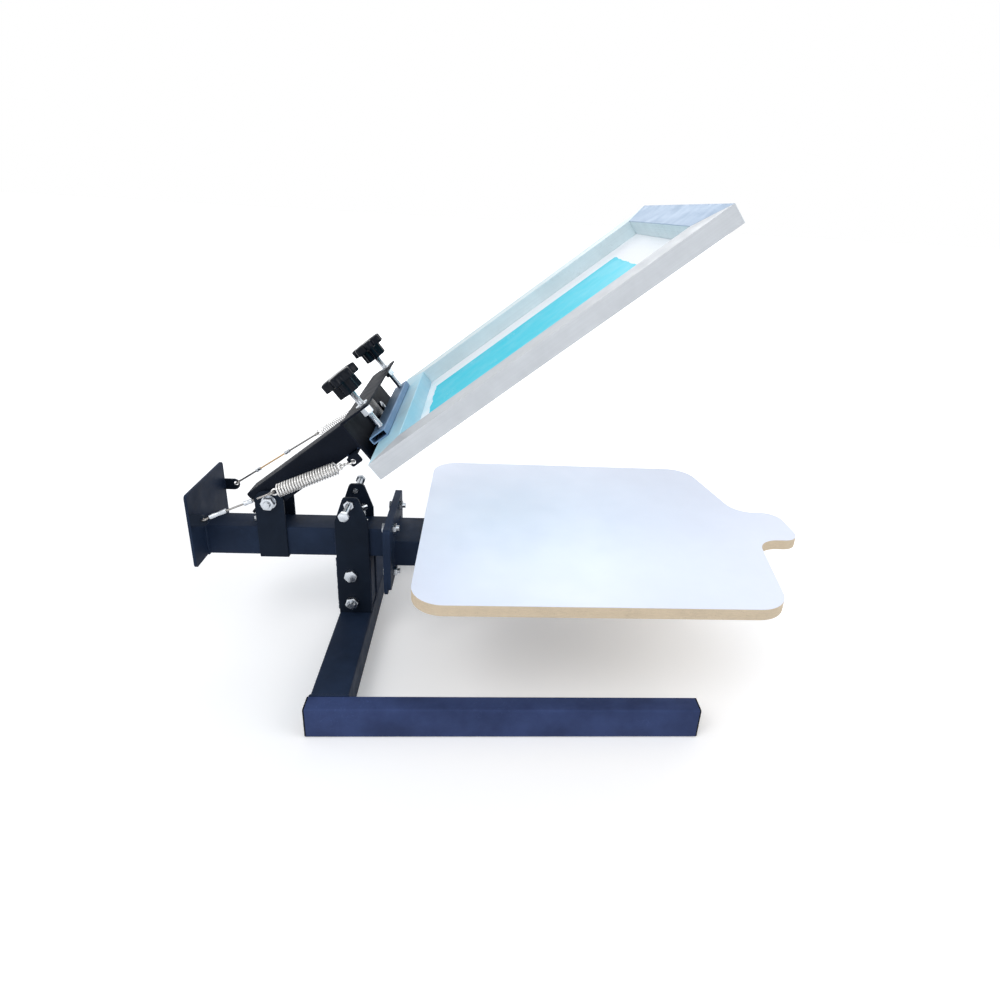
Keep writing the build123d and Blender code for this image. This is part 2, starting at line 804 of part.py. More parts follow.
# ---------------------------------------------------------------- clamp head
screw_places = [(screw_at, side * screw_spacing / 2) for side in (-1, 1)]
with BuildPart() as clamp_head:
    with BuildSketch(arm_side()):
        with BuildLine():
            Polyline(
                (web_at + flange_reach, flange_top),
                (web_at, flange_top),
                (web_at, lip_underside),
                (web_at + lip_reach, lip_underside),
                (web_at + lip_reach, lip_top),
                (web_at + head_sheet, lip_top),
                (web_at + head_sheet, flange_underside),
                (web_at + flange_reach, flange_underside),
                close=True,
            )
        make_face()
        bends = vertices().filter_by_position(Axis.X, web_at - seat_gap, web_at + seat_gap)
        fillet(bends, head_bend)
    extrude(amount=head_length / 2, both=True)
    with BuildSketch(arm_section(web_at, 0, arm_middle)):
        Rectangle(arm_size, arm_size)
        with Locations((anchor_y, anchor_bolt_height - arm_middle)):
            Circle(m8_radius + thread_play)
    extrude(amount=flange_reach / 2, both=True, mode=Mode.SUBTRACT)
    with BuildSketch(arm_level(0, 0, flange_top)):
        with Locations(screw_places):
            Circle(m8_radius + thread_play)
    extrude(amount=-2 * head_sheet, mode=Mode.SUBTRACT)
clamp_head.part.label = "clamp_head"
export_step(clamp_head.part, "parts/clamp_head.step")

with BuildPart() as clamp_weld_nuts:
    for at, y in screw_places:
        nut_plane = Plane(origin=arm_point(at, y, flange_underside), x_dir=along, z_dir=-across)
        add(hex_nut(nut_plane, m8_across_flats, weld_nut, m8_radius + thread_play))
clamp_weld_nuts.part.label = "clamp_weld_nuts"
export_step(clamp_weld_nuts.part, "parts/clamp_weld_nuts.step")

with BuildPart() as clamp_washers:
    for at, y in screw_places:
        add(
            washer(
                arm_level(at, y, flange_top),
                washer_top_radius,
                m8_radius + thread_play,
                washer_thickness,
            )
        )
clamp_washers.part.label = "clamp_washers"
export_step(clamp_washers.part, "parts/clamp_washers.step")

# lug behind the web for the rear spring's hook
anchor_bottom = anchor_bolt_height - anchor_width / 2
anchor_top = anchor_height + anchor_eye
with BuildPart() as spring_anchor:
    with BuildSketch(arm_section(web_at, anchor_y, (anchor_bottom + anchor_top) / 2)):
        Rectangle(anchor_width, anchor_top - anchor_bottom)
        with Locations((0, anchor_bolt_height - (anchor_bottom + anchor_top) / 2)):
            Circle(m8_radius + thread_play, mode=Mode.SUBTRACT)
    extrude(amount=-anchor_foot)
    with BuildSketch(arm_side(anchor_y)):
        with Locations(((anchor_at + web_at - anchor_foot) / 2, anchor_height)):
            Rectangle(web_at - anchor_foot - anchor_at, 2 * anchor_eye)
        with Locations((anchor_at, anchor_height)):
            Circle(anchor_eye)
            Circle(hook_hole_radius, mode=Mode.SUBTRACT)
    extrude(amount=anchor_foot / 2, both=True)
spring_anchor.part.label = "spring_anchor"
export_step(spring_anchor.part, "parts/spring_anchor.step")

with BuildPart() as spring_anchor_bolt:
    add(
        hex_bolt(
            arm_section(web_at + head_sheet, anchor_y, anchor_bolt_height),
            m8_across_flats,
            m8_head,
            m8_radius,
            head_sheet + anchor_foot + m8_nut + anchor_bolt_tail,
        )
    )
    nut_plane = Plane(
        origin=arm_point(web_at - anchor_foot, anchor_y, anchor_bolt_height),
        x_dir=sideways,
        z_dir=-along,
    )
    add(hex_nut(nut_plane, m8_across_flats, m8_nut, m8_radius))
spring_anchor_bolt.part.label = "spring_anchor_bolt"
export_step(spring_anchor_bolt.part, "parts/spring_anchor_bolt.step")

# ---------------------------------------------------------------- clamp bar, screws and knobs
with BuildPart() as clamp_bar:
    with BuildSketch(arm_side()):
        with Locations((screw_at - bar_set_back, bar_underside + bar_height / 2)):
            RectangleRounded(bar_width, bar_height, bar_wall)
            Rectangle(bar_width - 2 * bar_wall, bar_height - 2 * bar_wall, mode=Mode.SUBTRACT)
    extrude(amount=bar_length / 2, both=True)
    with BuildSketch(arm_level(0, 0, bar_top)):
        with Locations(screw_places):
            Circle(neck_radius + thread_play)
    extrude(amount=-2 * bar_wall, mode=Mode.SUBTRACT)
clamp_bar.part.label = "clamp_bar"
export_step(clamp_bar.part, "parts/clamp_bar.step")


def lobed(radius, lobe_radius):
    """Star outline in the sketch being built: a disc with round lobes that reach the radius."""
    Circle(radius - lobe_radius * knob_lobe_seat)
    with PolarLocations(radius - lobe_radius, knob_lobes):
        Circle(lobe_radius)
    roots = vertices()
    fillet(roots, lobe_radius * knob_root_share)


for (at, y), place in zip(screw_places, ("front", "back")):
    with BuildPart() as clamp_screw:
        with BuildSketch(arm_level(at, y, bar_top + seat_gap)):
            Circle(m8_radius)
        extrude(amount=knob_bore_top - bar_top - seat_gap)
        with BuildSketch(arm_level(at, y, neck_head_top)):
            Circle(neck_radius)
        extrude(amount=bar_top + seat_gap - neck_head_top)
        with BuildSketch(arm_level(at, y, neck_head_top)):
            Circle(neck_head_radius)
        extrude(amount=-neck_head)
    clamp_screw.part.label = f"{place}_clamp_screw"
    export_step(clamp_screw.part, f"parts/{place}_clamp_screw.step")

    with BuildPart() as knob:
        with BuildSketch(arm_level(at, y, knob_base)):
            lobed(knob_hub_radius, knob_hub_radius * knob_lobe_share)
        extrude(amount=knob_rim_base - knob_base)
        with BuildSketch(arm_level(at, y, knob_rim_base)):
            lobed(knob_rim_radius, knob_rim_radius * knob_lobe_share)
        extrude(amount=knob_top - knob_rim_base)
        crown = faces().sort_by(Axis((0, 0, 0), tuple(across)))[-1]
        fillet(crown.edges(), knob_edge)
        with BuildSketch(arm_level(at, y, knob_base)):
            Circle(m8_radius)
        extrude(amount=knob_bore_top - knob_base, mode=Mode.SUBTRACT)
    knob.part.label = f"{place}_knob"
    export_step(knob.part, f"parts/{place}_knob.step")

# ---------------------------------------------------------------- screen frame, mesh and emulsion
frame_end = frame_at + frame_length


def frame_corners(inset):
    """The screen frame's four corners, moved in by the inset, as distance along the arm and y."""
    near = frame_at + inset
    far = frame_end - inset
    side = frame_width / 2 - inset
    return [(near, -side), (far, -side), (far, side), (near, side)]


def rail_outline(rail, outer_inset, inner_inset):
    """Mitred outline of one rail in the sketch being built."""
    outer = frame_corners(outer_inset)
    inner = frame_corners(inner_inset)
    following = (rail + 1) % 4
    with BuildLine() as outline:
        Polyline(outer[rail], outer[following], inner[following], inner[rail], close=True)
    make_face(outline.edges())


for rail, place in enumerate(("front", "far", "back", "near")):
    with BuildPart() as screen_rail:
        with BuildSketch(arm_level(0, 0, frame_underside)):
            rail_outline(rail, 0, rail_width)
        extrude(amount=frame_thickness)
        with BuildSketch(arm_level(0, 0, frame_underside + rail_wall)):
            rail_outline(rail, rail_wall, rail_width - rail_wall)
        extrude(amount=frame_thickness - 2 * rail_wall, mode=Mode.SUBTRACT)
    screen_rail.part.label = f"screen_{place}_rail"
    export_step(screen_rail.part, f"parts/screen_{place}_rail.step")

frame_middle = frame_at + frame_length / 2
with BuildPart() as screen_mesh:
    with BuildSketch(arm_level(frame_middle, 0, frame_underside)):
        Rectangle(frame_length - 2 * mesh_inset, frame_width - 2 * mesh_inset)
    extrude(amount=-mesh_thickness)
screen_mesh.part.label = "screen_mesh"
export_step(screen_mesh.part, "parts/screen_mesh.step")

with BuildPart() as screen_emulsion:
    with BuildSketch(arm_level((emulsion_start + emulsion_end) / 2, 0, frame_underside)):
        Rectangle(emulsion_end - emulsion_start, emulsion_width)
    extrude(amount=emulsion_thickness)
screen_emulsion.part.label = "screen_emulsion"
export_step(screen_emulsion.part, "parts/screen_emulsion.step")

# ---------------------------------------------------------------- springs and their links
front_ear = Vector(ear_hole_x, -ear_y, ear_hole_z)
back_ear = Vector(ear_hole_x, ear_y, ear_hole_z)
front_hole = arm_point(tab_at, tab_hole_y, tab_hole_height)
back_hole = arm_point(anchor_at, anchor_y, anchor_height)


def link_section(start, end, distance):
    """Plane square to the line from start to end."""
    run = (end - start).normalized()
    return Plane(origin=start + run * distance, x_dir=sideways.cross(run), z_dir=run)


def link_ring(start, end, distance, wire, upright=False, eye=hook_ring):
    """Closed ring of wire that starts on the line: flat, so that it passes sideways through a plate,
    or upright, so that it hangs in a flat ring."""
    run = (end - start).normalized()
    level = run.cross(sideways).normalized()
    normal = run.cross(level) if upright else level
    centre = start + run * (distance + eye)
    with BuildPart() as ring:
        with BuildSketch(Plane(origin=centre, x_dir=run, z_dir=run.cross(normal))):
            with Locations((eye, 0)):
                Circle(wire)
        revolve(axis=Axis(tuple(centre), tuple(normal)))
    return ring.part


def link_rod(start, end, distance, length, radius):
    """Round rod on the line."""
    with BuildPart() as rod:
        with BuildSketch(link_section(start, end, distance)):
            Circle(radius)
        extrude(amount=length)
    return rod.part


def spoke(rim, hub, wire):
    """Wire from a coil's last turn to its axis."""
    with BuildPart() as bar:
        with BuildSketch(Plane(origin=rim, z_dir=hub - rim)):
            Circle(wire * spoke_share)
        extrude(amount=(hub - rim).length + wire)
    return bar.part


def spring(start, end, distance, length, radius, wire, pitch):
    """Coil on the line, with the radius measured over the wire and an upright ring at each end."""
    run = (end - start).normalized()
    near = start + run * distance
    far = near + run * length
    with BuildPart() as turns:
        with BuildLine() as route:
            path = Helix(
                pitch=pitch,
                height=length,
                radius=radius - wire,
                center=tuple(near),
                direction=tuple(run),
            )
        with BuildSketch(Plane(origin=path @ 0, z_dir=path % 0)):
            Circle(wire)
        sweep(path=route.line, is_frenet=True)
        add(spoke(path @ 0, near, wire))
        add(spoke(path @ 1, far, wire))
        add(link_ring(start, end, distance - 2 * hook_ring, wire, upright=True))
        add(link_ring(start, end, distance + length, wire, upright=True))
    return turns.part


def link(start, end, coil_start, wire, ferrules):
    """Wire link from the ear hole to the spring, with a ring at each end and its ferrules."""
    last = coil_start - 2 * hook_ring + wire + hook_wire + hook_play
    with BuildPart() as rods:
        add(link_ring(start, end, 0, hook_wire))
        add(link_rod(start, end, 2 * hook_ring, last - 4 * hook_ring, hook_wire))
        add(link_ring(start, end, last - 2 * hook_ring, hook_wire))
        for place, length in ferrules:
            add(link_rod(start, end, place, length, ferrule_radius))
    return rods.part


def arm_hook(start, end, wire):
    """Wire hook from the spring's far ring to the hole on the arm."""
    reach = (end - start).length
    first = reach - hook_reach + 2 * hook_ring - wire - hook_wire - hook_play
    last = reach + hook_lead - 2 * hook_eye
    rod_start = first + 2 * hook_ring
    with BuildPart() as hook:
        add(link_ring(start, end, first, hook_wire))
        add(link_rod(start, end, rod_start, last - rod_start, hook_wire))
        add(link_ring(start, end, last, hook_wire, eye=hook_eye))
    return hook.part


front_coil_length = (front_hole - front_ear).length - hook_reach - front_coil_start
with BuildPart() as front_spring:
    add(
        spring(
            front_ear,
            front_hole,
            front_coil_start,
            front_coil_length,
            front_coil_radius,
            front_coil_wire,
            front_coil_pitch,
        )
    )
front_spring.part.label = "front_spring"
export_step(front_spring.part, "parts/front_spring.step")

back_coil_length = (back_hole - back_ear).length - hook_reach - back_coil_start
with BuildPart() as back_spring:
    add(
        spring(
            back_ear,
            back_hole,
            back_coil_start,
            back_coil_length,
            back_coil_radius,
            back_coil_wire,
            back_coil_pitch,
        )
    )
back_spring.part.label = "back_spring"
export_step(back_spring.part, "parts/back_spring.step")

with BuildPart() as front_link:
    add(link(front_ear, front_hole, front_coil_start, front_coil_wire, front_ferrules))
front_link.part.label = "front_link"
export_step(front_link.part, "parts/front_link.step")

with BuildPart() as back_link:
    add(link(back_ear, back_hole, back_coil_start, back_coil_wire, back_ferrules))
back_link.part.label = "back_link"
export_step(back_link.part, "parts/back_link.step")

with BuildPart() as front_spring_hook:
    add(arm_hook(front_ear, front_hole, front_coil_wire))
front_spring_hook.part.label = "front_spring_hook"
export_step(front_spring_hook.part, "parts/front_spring_hook.step")

with BuildPart() as back_spring_hook:
    add(arm_hook(back_ear, back_hole, back_coil_wire))
back_spring_hook.part.label = "back_spring_hook"
export_step(back_spring_hook.part, "parts/back_spring_hook.step")
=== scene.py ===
import json
from math import cos, pi, radians, sin, tan

import bmesh
import bpy
from mathutils import Matrix, Vector, noise

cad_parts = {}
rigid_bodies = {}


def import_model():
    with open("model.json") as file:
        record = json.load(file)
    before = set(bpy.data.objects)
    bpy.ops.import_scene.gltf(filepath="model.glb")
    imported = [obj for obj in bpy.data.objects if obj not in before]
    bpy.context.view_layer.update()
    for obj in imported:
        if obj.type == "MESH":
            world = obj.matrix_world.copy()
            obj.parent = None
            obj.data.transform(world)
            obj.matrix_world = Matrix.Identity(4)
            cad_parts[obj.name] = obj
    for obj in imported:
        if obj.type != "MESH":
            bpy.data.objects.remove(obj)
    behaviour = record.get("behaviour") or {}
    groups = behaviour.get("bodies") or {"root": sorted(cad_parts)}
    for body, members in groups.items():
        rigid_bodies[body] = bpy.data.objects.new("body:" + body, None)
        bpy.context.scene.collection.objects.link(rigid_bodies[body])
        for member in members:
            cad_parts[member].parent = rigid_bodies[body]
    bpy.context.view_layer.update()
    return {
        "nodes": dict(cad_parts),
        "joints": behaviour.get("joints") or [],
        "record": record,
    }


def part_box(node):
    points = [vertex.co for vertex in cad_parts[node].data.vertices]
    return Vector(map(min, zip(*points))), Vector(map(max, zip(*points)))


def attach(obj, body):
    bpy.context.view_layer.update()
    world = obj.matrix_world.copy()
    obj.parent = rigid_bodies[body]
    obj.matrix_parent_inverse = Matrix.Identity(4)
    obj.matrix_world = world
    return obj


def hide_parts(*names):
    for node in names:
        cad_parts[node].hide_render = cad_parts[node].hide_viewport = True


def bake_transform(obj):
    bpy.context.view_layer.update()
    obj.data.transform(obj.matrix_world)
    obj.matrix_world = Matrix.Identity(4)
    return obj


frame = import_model()

bl_info = {
    "name": "Screen Printing Press",
    "version": (1, 0, 0),
    "blender": (4, 5, 0),
    "location": "3D View > Sidebar > Press",
    "description": "Dresses a tabletop screen printing press in painted steel, "
    "aluminium, mesh and laminate",
    "category": "Add Mesh",
}

# Places are in metres, in the press's own frame: +X to the pallet's tip, +Y to the rear foot and
# +Z up.
JOINTS = {joint["name"]: joint for joint in frame["joints"]}
BODY_OF = {
    node: body
    for body, members in frame["record"]["behaviour"]["bodies"].items()
    for node in members
}
PIVOT = Vector(JOINTS["arm_pivot"]["pos_m"])
RAISED = radians(JOINTS["arm_pivot"]["range_deg"][1])
ALONG = Vector((cos(RAISED), 0, sin(RAISED)))
ACROSS = Vector((-sin(RAISED), 0, cos(RAISED)))
SIDEWAYS = Vector((0, 1, 0))
UP = Vector((0, 0, 1))
MM = 0.001

# each spring: its coil's start and end along the link, outer radius and pitch, the tails of the
# link's near and far hooks, the link's sleeves as (start, length), and their radius
SPRINGS = {
    "front": {
        "coil": (106.0 * MM, 191.2 * MM),
        "radius": 9.4 * MM,
        "pitch": 3.9 * MM,
        "tails": (6 * MM, 16 * MM),
        "sleeves": ((9 * MM, 24 * MM), (58 * MM, 12 * MM)),
        "sleeve_radius": 3.2 * MM,
    },
    "back": {
        "coil": (166.0 * MM, 225.35 * MM),
        "radius": 5.0 * MM,
        "pitch": 3.4 * MM,
        "tails": (34 * MM, 48 * MM),
        "sleeves": ((40 * MM, 9 * MM), (96 * MM, 9 * MM)),
        "sleeve_radius": 2.8 * MM,
    },
}
# links and hooks: wire, radius of an eye, straight lead after it, and play between two eyes
LINK_WIRE = 1.4 * MM
EYE = 4 * MM
EYE_LEAD = 0.6 * MM
EYE_PLAY = 0.2 * MM
# hook in the arm: its radius, and the tails of its inner and outer end
ARM_HOOK = 5 * MM
ARM_HOOK_TAILS = (1 * MM, 4 * MM)
# straight wire in the front link, and the twin rods of the rear one
FRONT_STRAIGHT = (12 * MM, 72 * MM)
ROD_SPAN = (44 * MM, 100 * MM)
ROD_OFFSET = 1.5 * MM
ROD_RADIUS = 1 * MM
# steps round the loop at a coil's end
LOOP_STEPS = 14
# walls of the tubes, and the flange of the plugs in their ends
BASE_WALL = 2 * MM
BEAM_WALL = 2.5 * MM
PLUG_FLANGE = 2 * MM
# screws by size: thread's radius, width across flats, heights of head and nut, and pitch
M8 = {"radius": 4 * MM, "flats": 13 * MM, "head": 5.3 * MM, "nut": 5 * MM, "pitch": 1.25 * MM}
M10 = {"radius": 5 * MM, "flats": 17 * MM, "head": 6.4 * MM, "nut": 8 * MM, "pitch": 1.5 * MM}
# bores as a share of the thread's radius: a nut that bites, a nut that turns, and a washer
TIGHT, CLEAR, WASHER = 0.94, 1.01, 1.02
# heights of the two bolts through the gate plates, and of the bead between a plate and the beam
GATE_BOLTS = (64 * MM, 110 * MM)
BEAM_BEAD = (0.146, 0.181)
BEAD_RIPPLE = 1.7 * MM
# grids of like fasteners: sideways and height gap at the joint, width and length under the pallet
FLANGE_GAPS = (76.0 * MM, 70.0 * MM)
PALLET_GAPS = (140.0 * MM, 210.0 * MM)
# domed screw under the pallet: radius and height
PALLET_SCREW = (5.5 * MM, 2 * MM)
# hand knob: rim's height, then radius and depth of scoop of the hub and of the rim
KNOB_RIM = 12.5 * MM
KNOB_HUB = (17.0 * MM, 3.7 * MM)
KNOB_WIDE = (25.0 * MM, 5.6 * MM)
# grids of the mesh and of the coat, and how far each side of the coat sits into the mesh
MESH_STEPS = (8, 8)
COAT_STEPS = (90, 60)
COAT_SINK = 0.01 * MM
PRINT_SIDE_DROP = 0.08 * MM
PRINT_SIDE_THICKNESS = 0.1 * MM
# half the floor's width, so far out that its edge is lost in the white
FLOOR_REACH = 40.0


# ---------------------------------------------------------------- colours and sizes to change
def colour(red, green, blue):
    """Linear colour from the usual 0 to 255 display values."""
    return tuple(
        value / 12.92 if value <= 0.04045 else ((value + 0.055) / 1.055) ** 2.4
        for value in (red / 255, green / 255, blue / 255)
    )


def colour_property(name, description, default):
    return bpy.props.FloatVectorProperty(
        name=name, description=description, subtype="COLOR", size=3, min=0, max=1, default=default
    )


def length_property(name, description, default):
    return bpy.props.FloatProperty(
        name=name, description=description, subtype="DISTANCE", unit="LENGTH", default=default
    )


class PressColours(bpy.types.PropertyGroup):
    """Colours of the press's finishes."""

    blue_paint: colour_property("Blue paint", "Powder coat of the base tubes", colour(52, 65, 103))
    beam_paint: colour_property("Beam paint", "Powder coat of beam and post", colour(30, 42, 62))
    black_paint: colour_property("Black paint", "Powder coat of the plates", colour(20, 29, 42))
    arm_paint: colour_property("Arm paint", "Powder coat of the print arm", colour(14, 20, 31))
    black_plastic: colour_property("Black plastic", "Knobs and plugs", colour(12, 18, 27))
    zinc: colour_property("Zinc", "Plated screws and nuts", colour(198, 203, 209))
    spring_steel: colour_property("Spring steel", "Bright spring wire", colour(226, 225, 223))
    aluminium: colour_property("Aluminium", "Front rail of the screen", colour(198, 202, 206))
    # painted light: a paler copy of the aluminium, so the shaded inner faces of the back and far
    # rails read light
    painted_lit_rail: colour_property("Light rail", "Back and far rails", colour(216, 230, 234))
    # painted reflection: a darker bluish colour painted on the far rail's top face
    rail_top_reflection: colour_property("Rail top", "Bluish top of the far rail", colour(150, 171, 194))
    near_rail: colour_property("Near rail", "Rail in the clamp", colour(200, 226, 236))
    clamp_bar: colour_property("Clamp bar", "Blued aluminium bar", colour(116, 146, 178))
    link_wire: colour_property("Link wire", "Dull wire of the spring links", colour(146, 144, 142))
    brass: colour_property("Brass", "Twin rods of the rear link", colour(206, 172, 128))
    laminate: colour_property("Laminate", "Face of the pallet", colour(232, 236, 249))
    fibreboard: colour_property("Fibreboard", "Sawn edge of the pallet", colour(210, 192, 165))
    mesh: colour_property("Mesh", "Woven screen cloth", colour(242, 245, 248))
    emulsion: colour_property("Emulsion", "Stencil coat on the mesh", colour(24, 206, 228))


class PressSizes(bpy.types.PropertyGroup):
    """Small sizes of the press that the looks depend on."""

    tube_corner: length_property("Tube corner", "Outer corner radius of square tubes", 2.6 * MM)
    plate_edge: length_property("Plate edge", "Rounding along cut plates", 0.6 * MM)
    thread_pitch: length_property("Thread pitch", "Pitch of the clamp screws", 1.25 * MM)
    front_coil_wire: length_property("Front spring wire", "Wire radius", 1.3 * MM)
    back_coil_wire: length_property("Rear spring wire", "Wire radius", 0.6 * MM)
    weld_size: length_property("Weld size", "Half width of a weld bead", 2.0 * MM)


# ---------------------------------------------------------------- places on the raised arm
def arm_point(distance, y, height):
    """Point from the pivot: along the raised arm, sideways and across it."""
    return PIVOT + ALONG * distance + SIDEWAYS * y + ACROSS * height


def arm_span(node):
    """Lowest and highest (along, sideways, across) of a CAD node on the raised arm."""
    places = [vertex.co - PIVOT for vertex in frame["nodes"][node].data.vertices]
    spans = [(p.dot(ALONG), p.y, p.dot(ACROSS)) for p in places]
    return [min(s) for s in zip(*spans)], [max(s) for s in zip(*spans)]


def on_axis(origin, direction, turn=0.0):
    """Matrix that puts a piece's +Z on the direction, at the origin."""
    spin = Matrix.Rotation(turn, 4, "Z")
    upright = direction.to_track_quat("Z", "Y").to_matrix().to_4x4()
    return Matrix.Translation(origin) @ upright @ spin


# ---------------------------------------------------------------- shader groups
def add_node(tree, kind, inputs=None, **settings):
    """Node with its settings and its inputs, each a value or a socket to link."""
    node = tree.nodes.new(kind)
    for setting, value in settings.items():
        setattr(node, setting, value)
    for socket, value in (inputs or {}).items():
        if isinstance(value, bpy.types.NodeSocket):
            tree.links.new(value, node.inputs[socket])
        else:
            node.inputs[socket].default_value = value
    return node


def calculate(tree, operation, *values):
    """Result of a math node on values or sockets."""
    return add_node(tree, "ShaderNodeMath", dict(enumerate(values)), operation=operation).outputs[0]


def rescale(tree, value, source, target=(0.0, 1.0)):
    """Value held between the source's ends and stretched to the target's."""
    ends = {"From Min": source[0], "From Max": source[1], "To Min": target[0], "To Max": target[1]}
    return add_node(tree, "ShaderNodeMapRange", {"Value": value, **ends}).outputs[0]


def new_group(name, inputs, output, output_kind):
    """Empty shader group with its sockets; inputs are (name, socket type, default)."""
    tree = bpy.data.node_groups.new(name, "ShaderNodeTree")
    for socket, kind, default in inputs:
        made = tree.interface.new_socket(name=socket, in_out="INPUT", socket_type=kind)
        if default is not None:
            made.default_value = default
    tree.interface.new_socket(name=output, in_out="OUTPUT", socket_type=output_kind)
    return tree, tree.nodes.new("NodeGroupInput").outputs, tree.nodes.new("NodeGroupOutput").inputs


def blotches_group():
    """Soft uneven patches between two values."""
    tree, given, result = new_group(
        "Blotches",
        [
            ("Vector", "NodeSocketVector", None),
            ("Scale", "NodeSocketFloat", 20.0),
            ("Low", "NodeSocketFloat", 0.0),
            ("High", "NodeSocketFloat", 1.0),
        ],
        "Value",
        "NodeSocketFloat",
    )
    clouds = add_node(
        tree,
        "ShaderNodeTexNoise",
        {"Vector": given["Vector"], "Scale": given["Scale"], "Detail": 5.0, "Roughness": 0.6},
    )
    spread = rescale(tree, clouds.outputs[0], (0.35, 0.65), (given["Low"], given["High"]))
    tree.links.new(spread, result["Value"])
    return tree


def streaks_group():
    """Fine lines drawn out along X, as brushing or rolling leaves them."""
    tree, given, result = new_group(
        "Streaks",
        [
            ("Vector", "NodeSocketVector", None),
            ("Along", "NodeSocketFloat", 8.0),
            ("Across", "NodeSocketFloat", 900.0),
        ],
        "Value",
        "NodeSocketFloat",
    )
    stretch = add_node(
        tree,
        "ShaderNodeCombineXYZ",
        {"X": given["Along"], "Y": given["Across"], "Z": given["Across"]},
    )
    drawn = add_node(
        tree,
        "ShaderNodeVectorMath",
        {0: given["Vector"], 1: stretch.outputs[0]},
        operation="MULTIPLY",
    )
    lines = add_node(
        tree,
        "ShaderNodeTexNoise",
        {"Vector": drawn.outputs[0], "Scale": 1.0, "Detail": 3.0, "Roughness": 0.55},
    )
    tree.links.new(lines.outputs[0], result["Value"])
    return tree


def scratches_group():
    """Sparse thin marks, from 0 on clean surface to 1 in a mark."""
    tree, given, result = new_group(
        "Scratches",
        [
            ("Vector", "NodeSocketVector", None),
            ("Scale", "NodeSocketFloat", 60.0),
            ("Width", "NodeSocketFloat", 0.03),
        ],
        "Value",
        "NodeSocketFloat",
    )
    warp = add_node(
        tree,
        "ShaderNodeTexNoise",
        {"Vector": given["Vector"], "Scale": given["Scale"], "Detail": 2.0, "Distortion": 3.0},
    )
    edge = calculate(tree, "ABSOLUTE", calculate(tree, "SUBTRACT", warp.outputs[0], 0.5))
    line = rescale(tree, edge, (0.0, given["Width"]), (1.0, 0.0))
    patches = add_node(
        tree, "ShaderNodeTexNoise", {"Vector": given["Vector"], "Scale": 14.0, "Detail": 1.0}
    )
    where = rescale(tree, patches.outputs[0], (0.55, 0.68))
    tree.links.new(calculate(tree, "MULTIPLY", line, where), result["Value"])
    return tree


GROUPS = {}


def shared(name):
    """Shader group by name, built the first time it is asked for."""
    makers = {"Blotches": blotches_group, "Streaks": streaks_group, "Scratches": scratches_group}
    if name not in GROUPS:
        GROUPS[name] = makers[name]()
    return GROUPS[name]


def use_group(tree, name, inputs):
    """One of the shared groups, placed in a material."""
    return add_node(tree, "ShaderNodeGroup", inputs, node_tree=shared(name)).outputs[0]


def blotches(tree, place, scale, span=(0.0, 1.0)):
    """Patches between the span's two values."""
    inputs = {"Vector": place, "Scale": scale, "Low": span[0], "High": span[1]}
    return use_group(tree, "Blotches", inputs)


def scratches(tree, place, scale, width):
    """Sparse thin marks of a width."""
    return use_group(tree, "Scratches", {"Vector": place, "Scale": scale, "Width": width})


# ---------------------------------------------------------------- finishes
def shaded(name, base, metallic=0.0, rough=0.5, specular=0.5):
    """New material: its tree, Principled shader and object coordinates."""
    material = bpy.data.materials.new(name)
    material.use_nodes = True
    tree = material.node_tree
    principled = tree.nodes["Principled BSDF"]
    principled.inputs["Base Color"].default_value = (*base, 1)
    principled.inputs["Metallic"].default_value = metallic
    principled.inputs["Roughness"].default_value = rough
    principled.inputs["Specular IOR Level"].default_value = specular
    place = tree.nodes.new("ShaderNodeTexCoord").outputs["Object"]
    return material, tree, principled, place


def turned(tree, place, direction):
    """Coordinates with X along the direction, for streaks that follow a bar."""
    flat = direction.to_track_quat("X", "Z").inverted().to_euler()
    return add_node(tree, "ShaderNodeMapping", {"Vector": place, "Rotation": flat}).outputs[0]


def mix_colour(tree, factor, first, second):
    """Colour between two, by a factor socket."""
    node = tree.nodes.new("ShaderNodeMix")
    node.data_type = "RGBA"
    tree.links.new(factor, node.inputs["Factor"])
    for socket, value in ((node.inputs[6], first), (node.inputs[7], second)):
        if isinstance(value, bpy.types.NodeSocket):
            tree.links.new(value, socket)
        else:
            socket.default_value = (*value, 1)
    return node.outputs[2]


def shade_of(base, share):
    """Lighter or darker version of a colour."""
    return tuple(min(1, value * share) for value in base)


def add_bump(tree, principled, height, distance, strength):
    """Relief from a height socket, in metres."""
    bump = add_node(
        tree, "ShaderNodeBump", {"Height": height, "Distance": distance, "Strength": strength}
    )
    tree.links.new(bump.outputs[0], principled.inputs["Normal"])


def add_grain(tree, principled, place, scale, detail, distance, strength):
    """Fine relief all over."""
    grain = add_node(
        tree, "ShaderNodeTexNoise", {"Vector": place, "Scale": scale, "Detail": detail}
    )
    add_bump(tree, principled, grain.outputs[0], distance, strength)


def add_gloss(tree, principled, place, scale, span):
    """Roughness that wanders between the span's two values."""
    tree.links.new(blotches(tree, place, scale, span), principled.inputs["Roughness"])


def powder_coat(name, base, rough=(0.5, 0.62)):
    """Powder-coated steel: orange peel, cloudy gloss and faint rub marks."""
    material, tree, principled, place = shaded(name, base, specular=0.09)
    cloud = blotches(tree, place, 16.0)
    toned = mix_colour(tree, cloud, shade_of(base, 0.8), shade_of(base, 1.2))
    worn = calculate(tree, "MULTIPLY", scratches(tree, place, 34.0, 0.012), 0.3)
    rubbed = mix_colour(tree, worn, toned, shade_of(base, 2.2))
    tree.links.new(rubbed, principled.inputs["Base Color"])
    add_gloss(tree, principled, place, 42.0, rough)
    add_grain(tree, principled, place, 1100.0, 2.0, 0.06 * MM, 0.55)
    return material


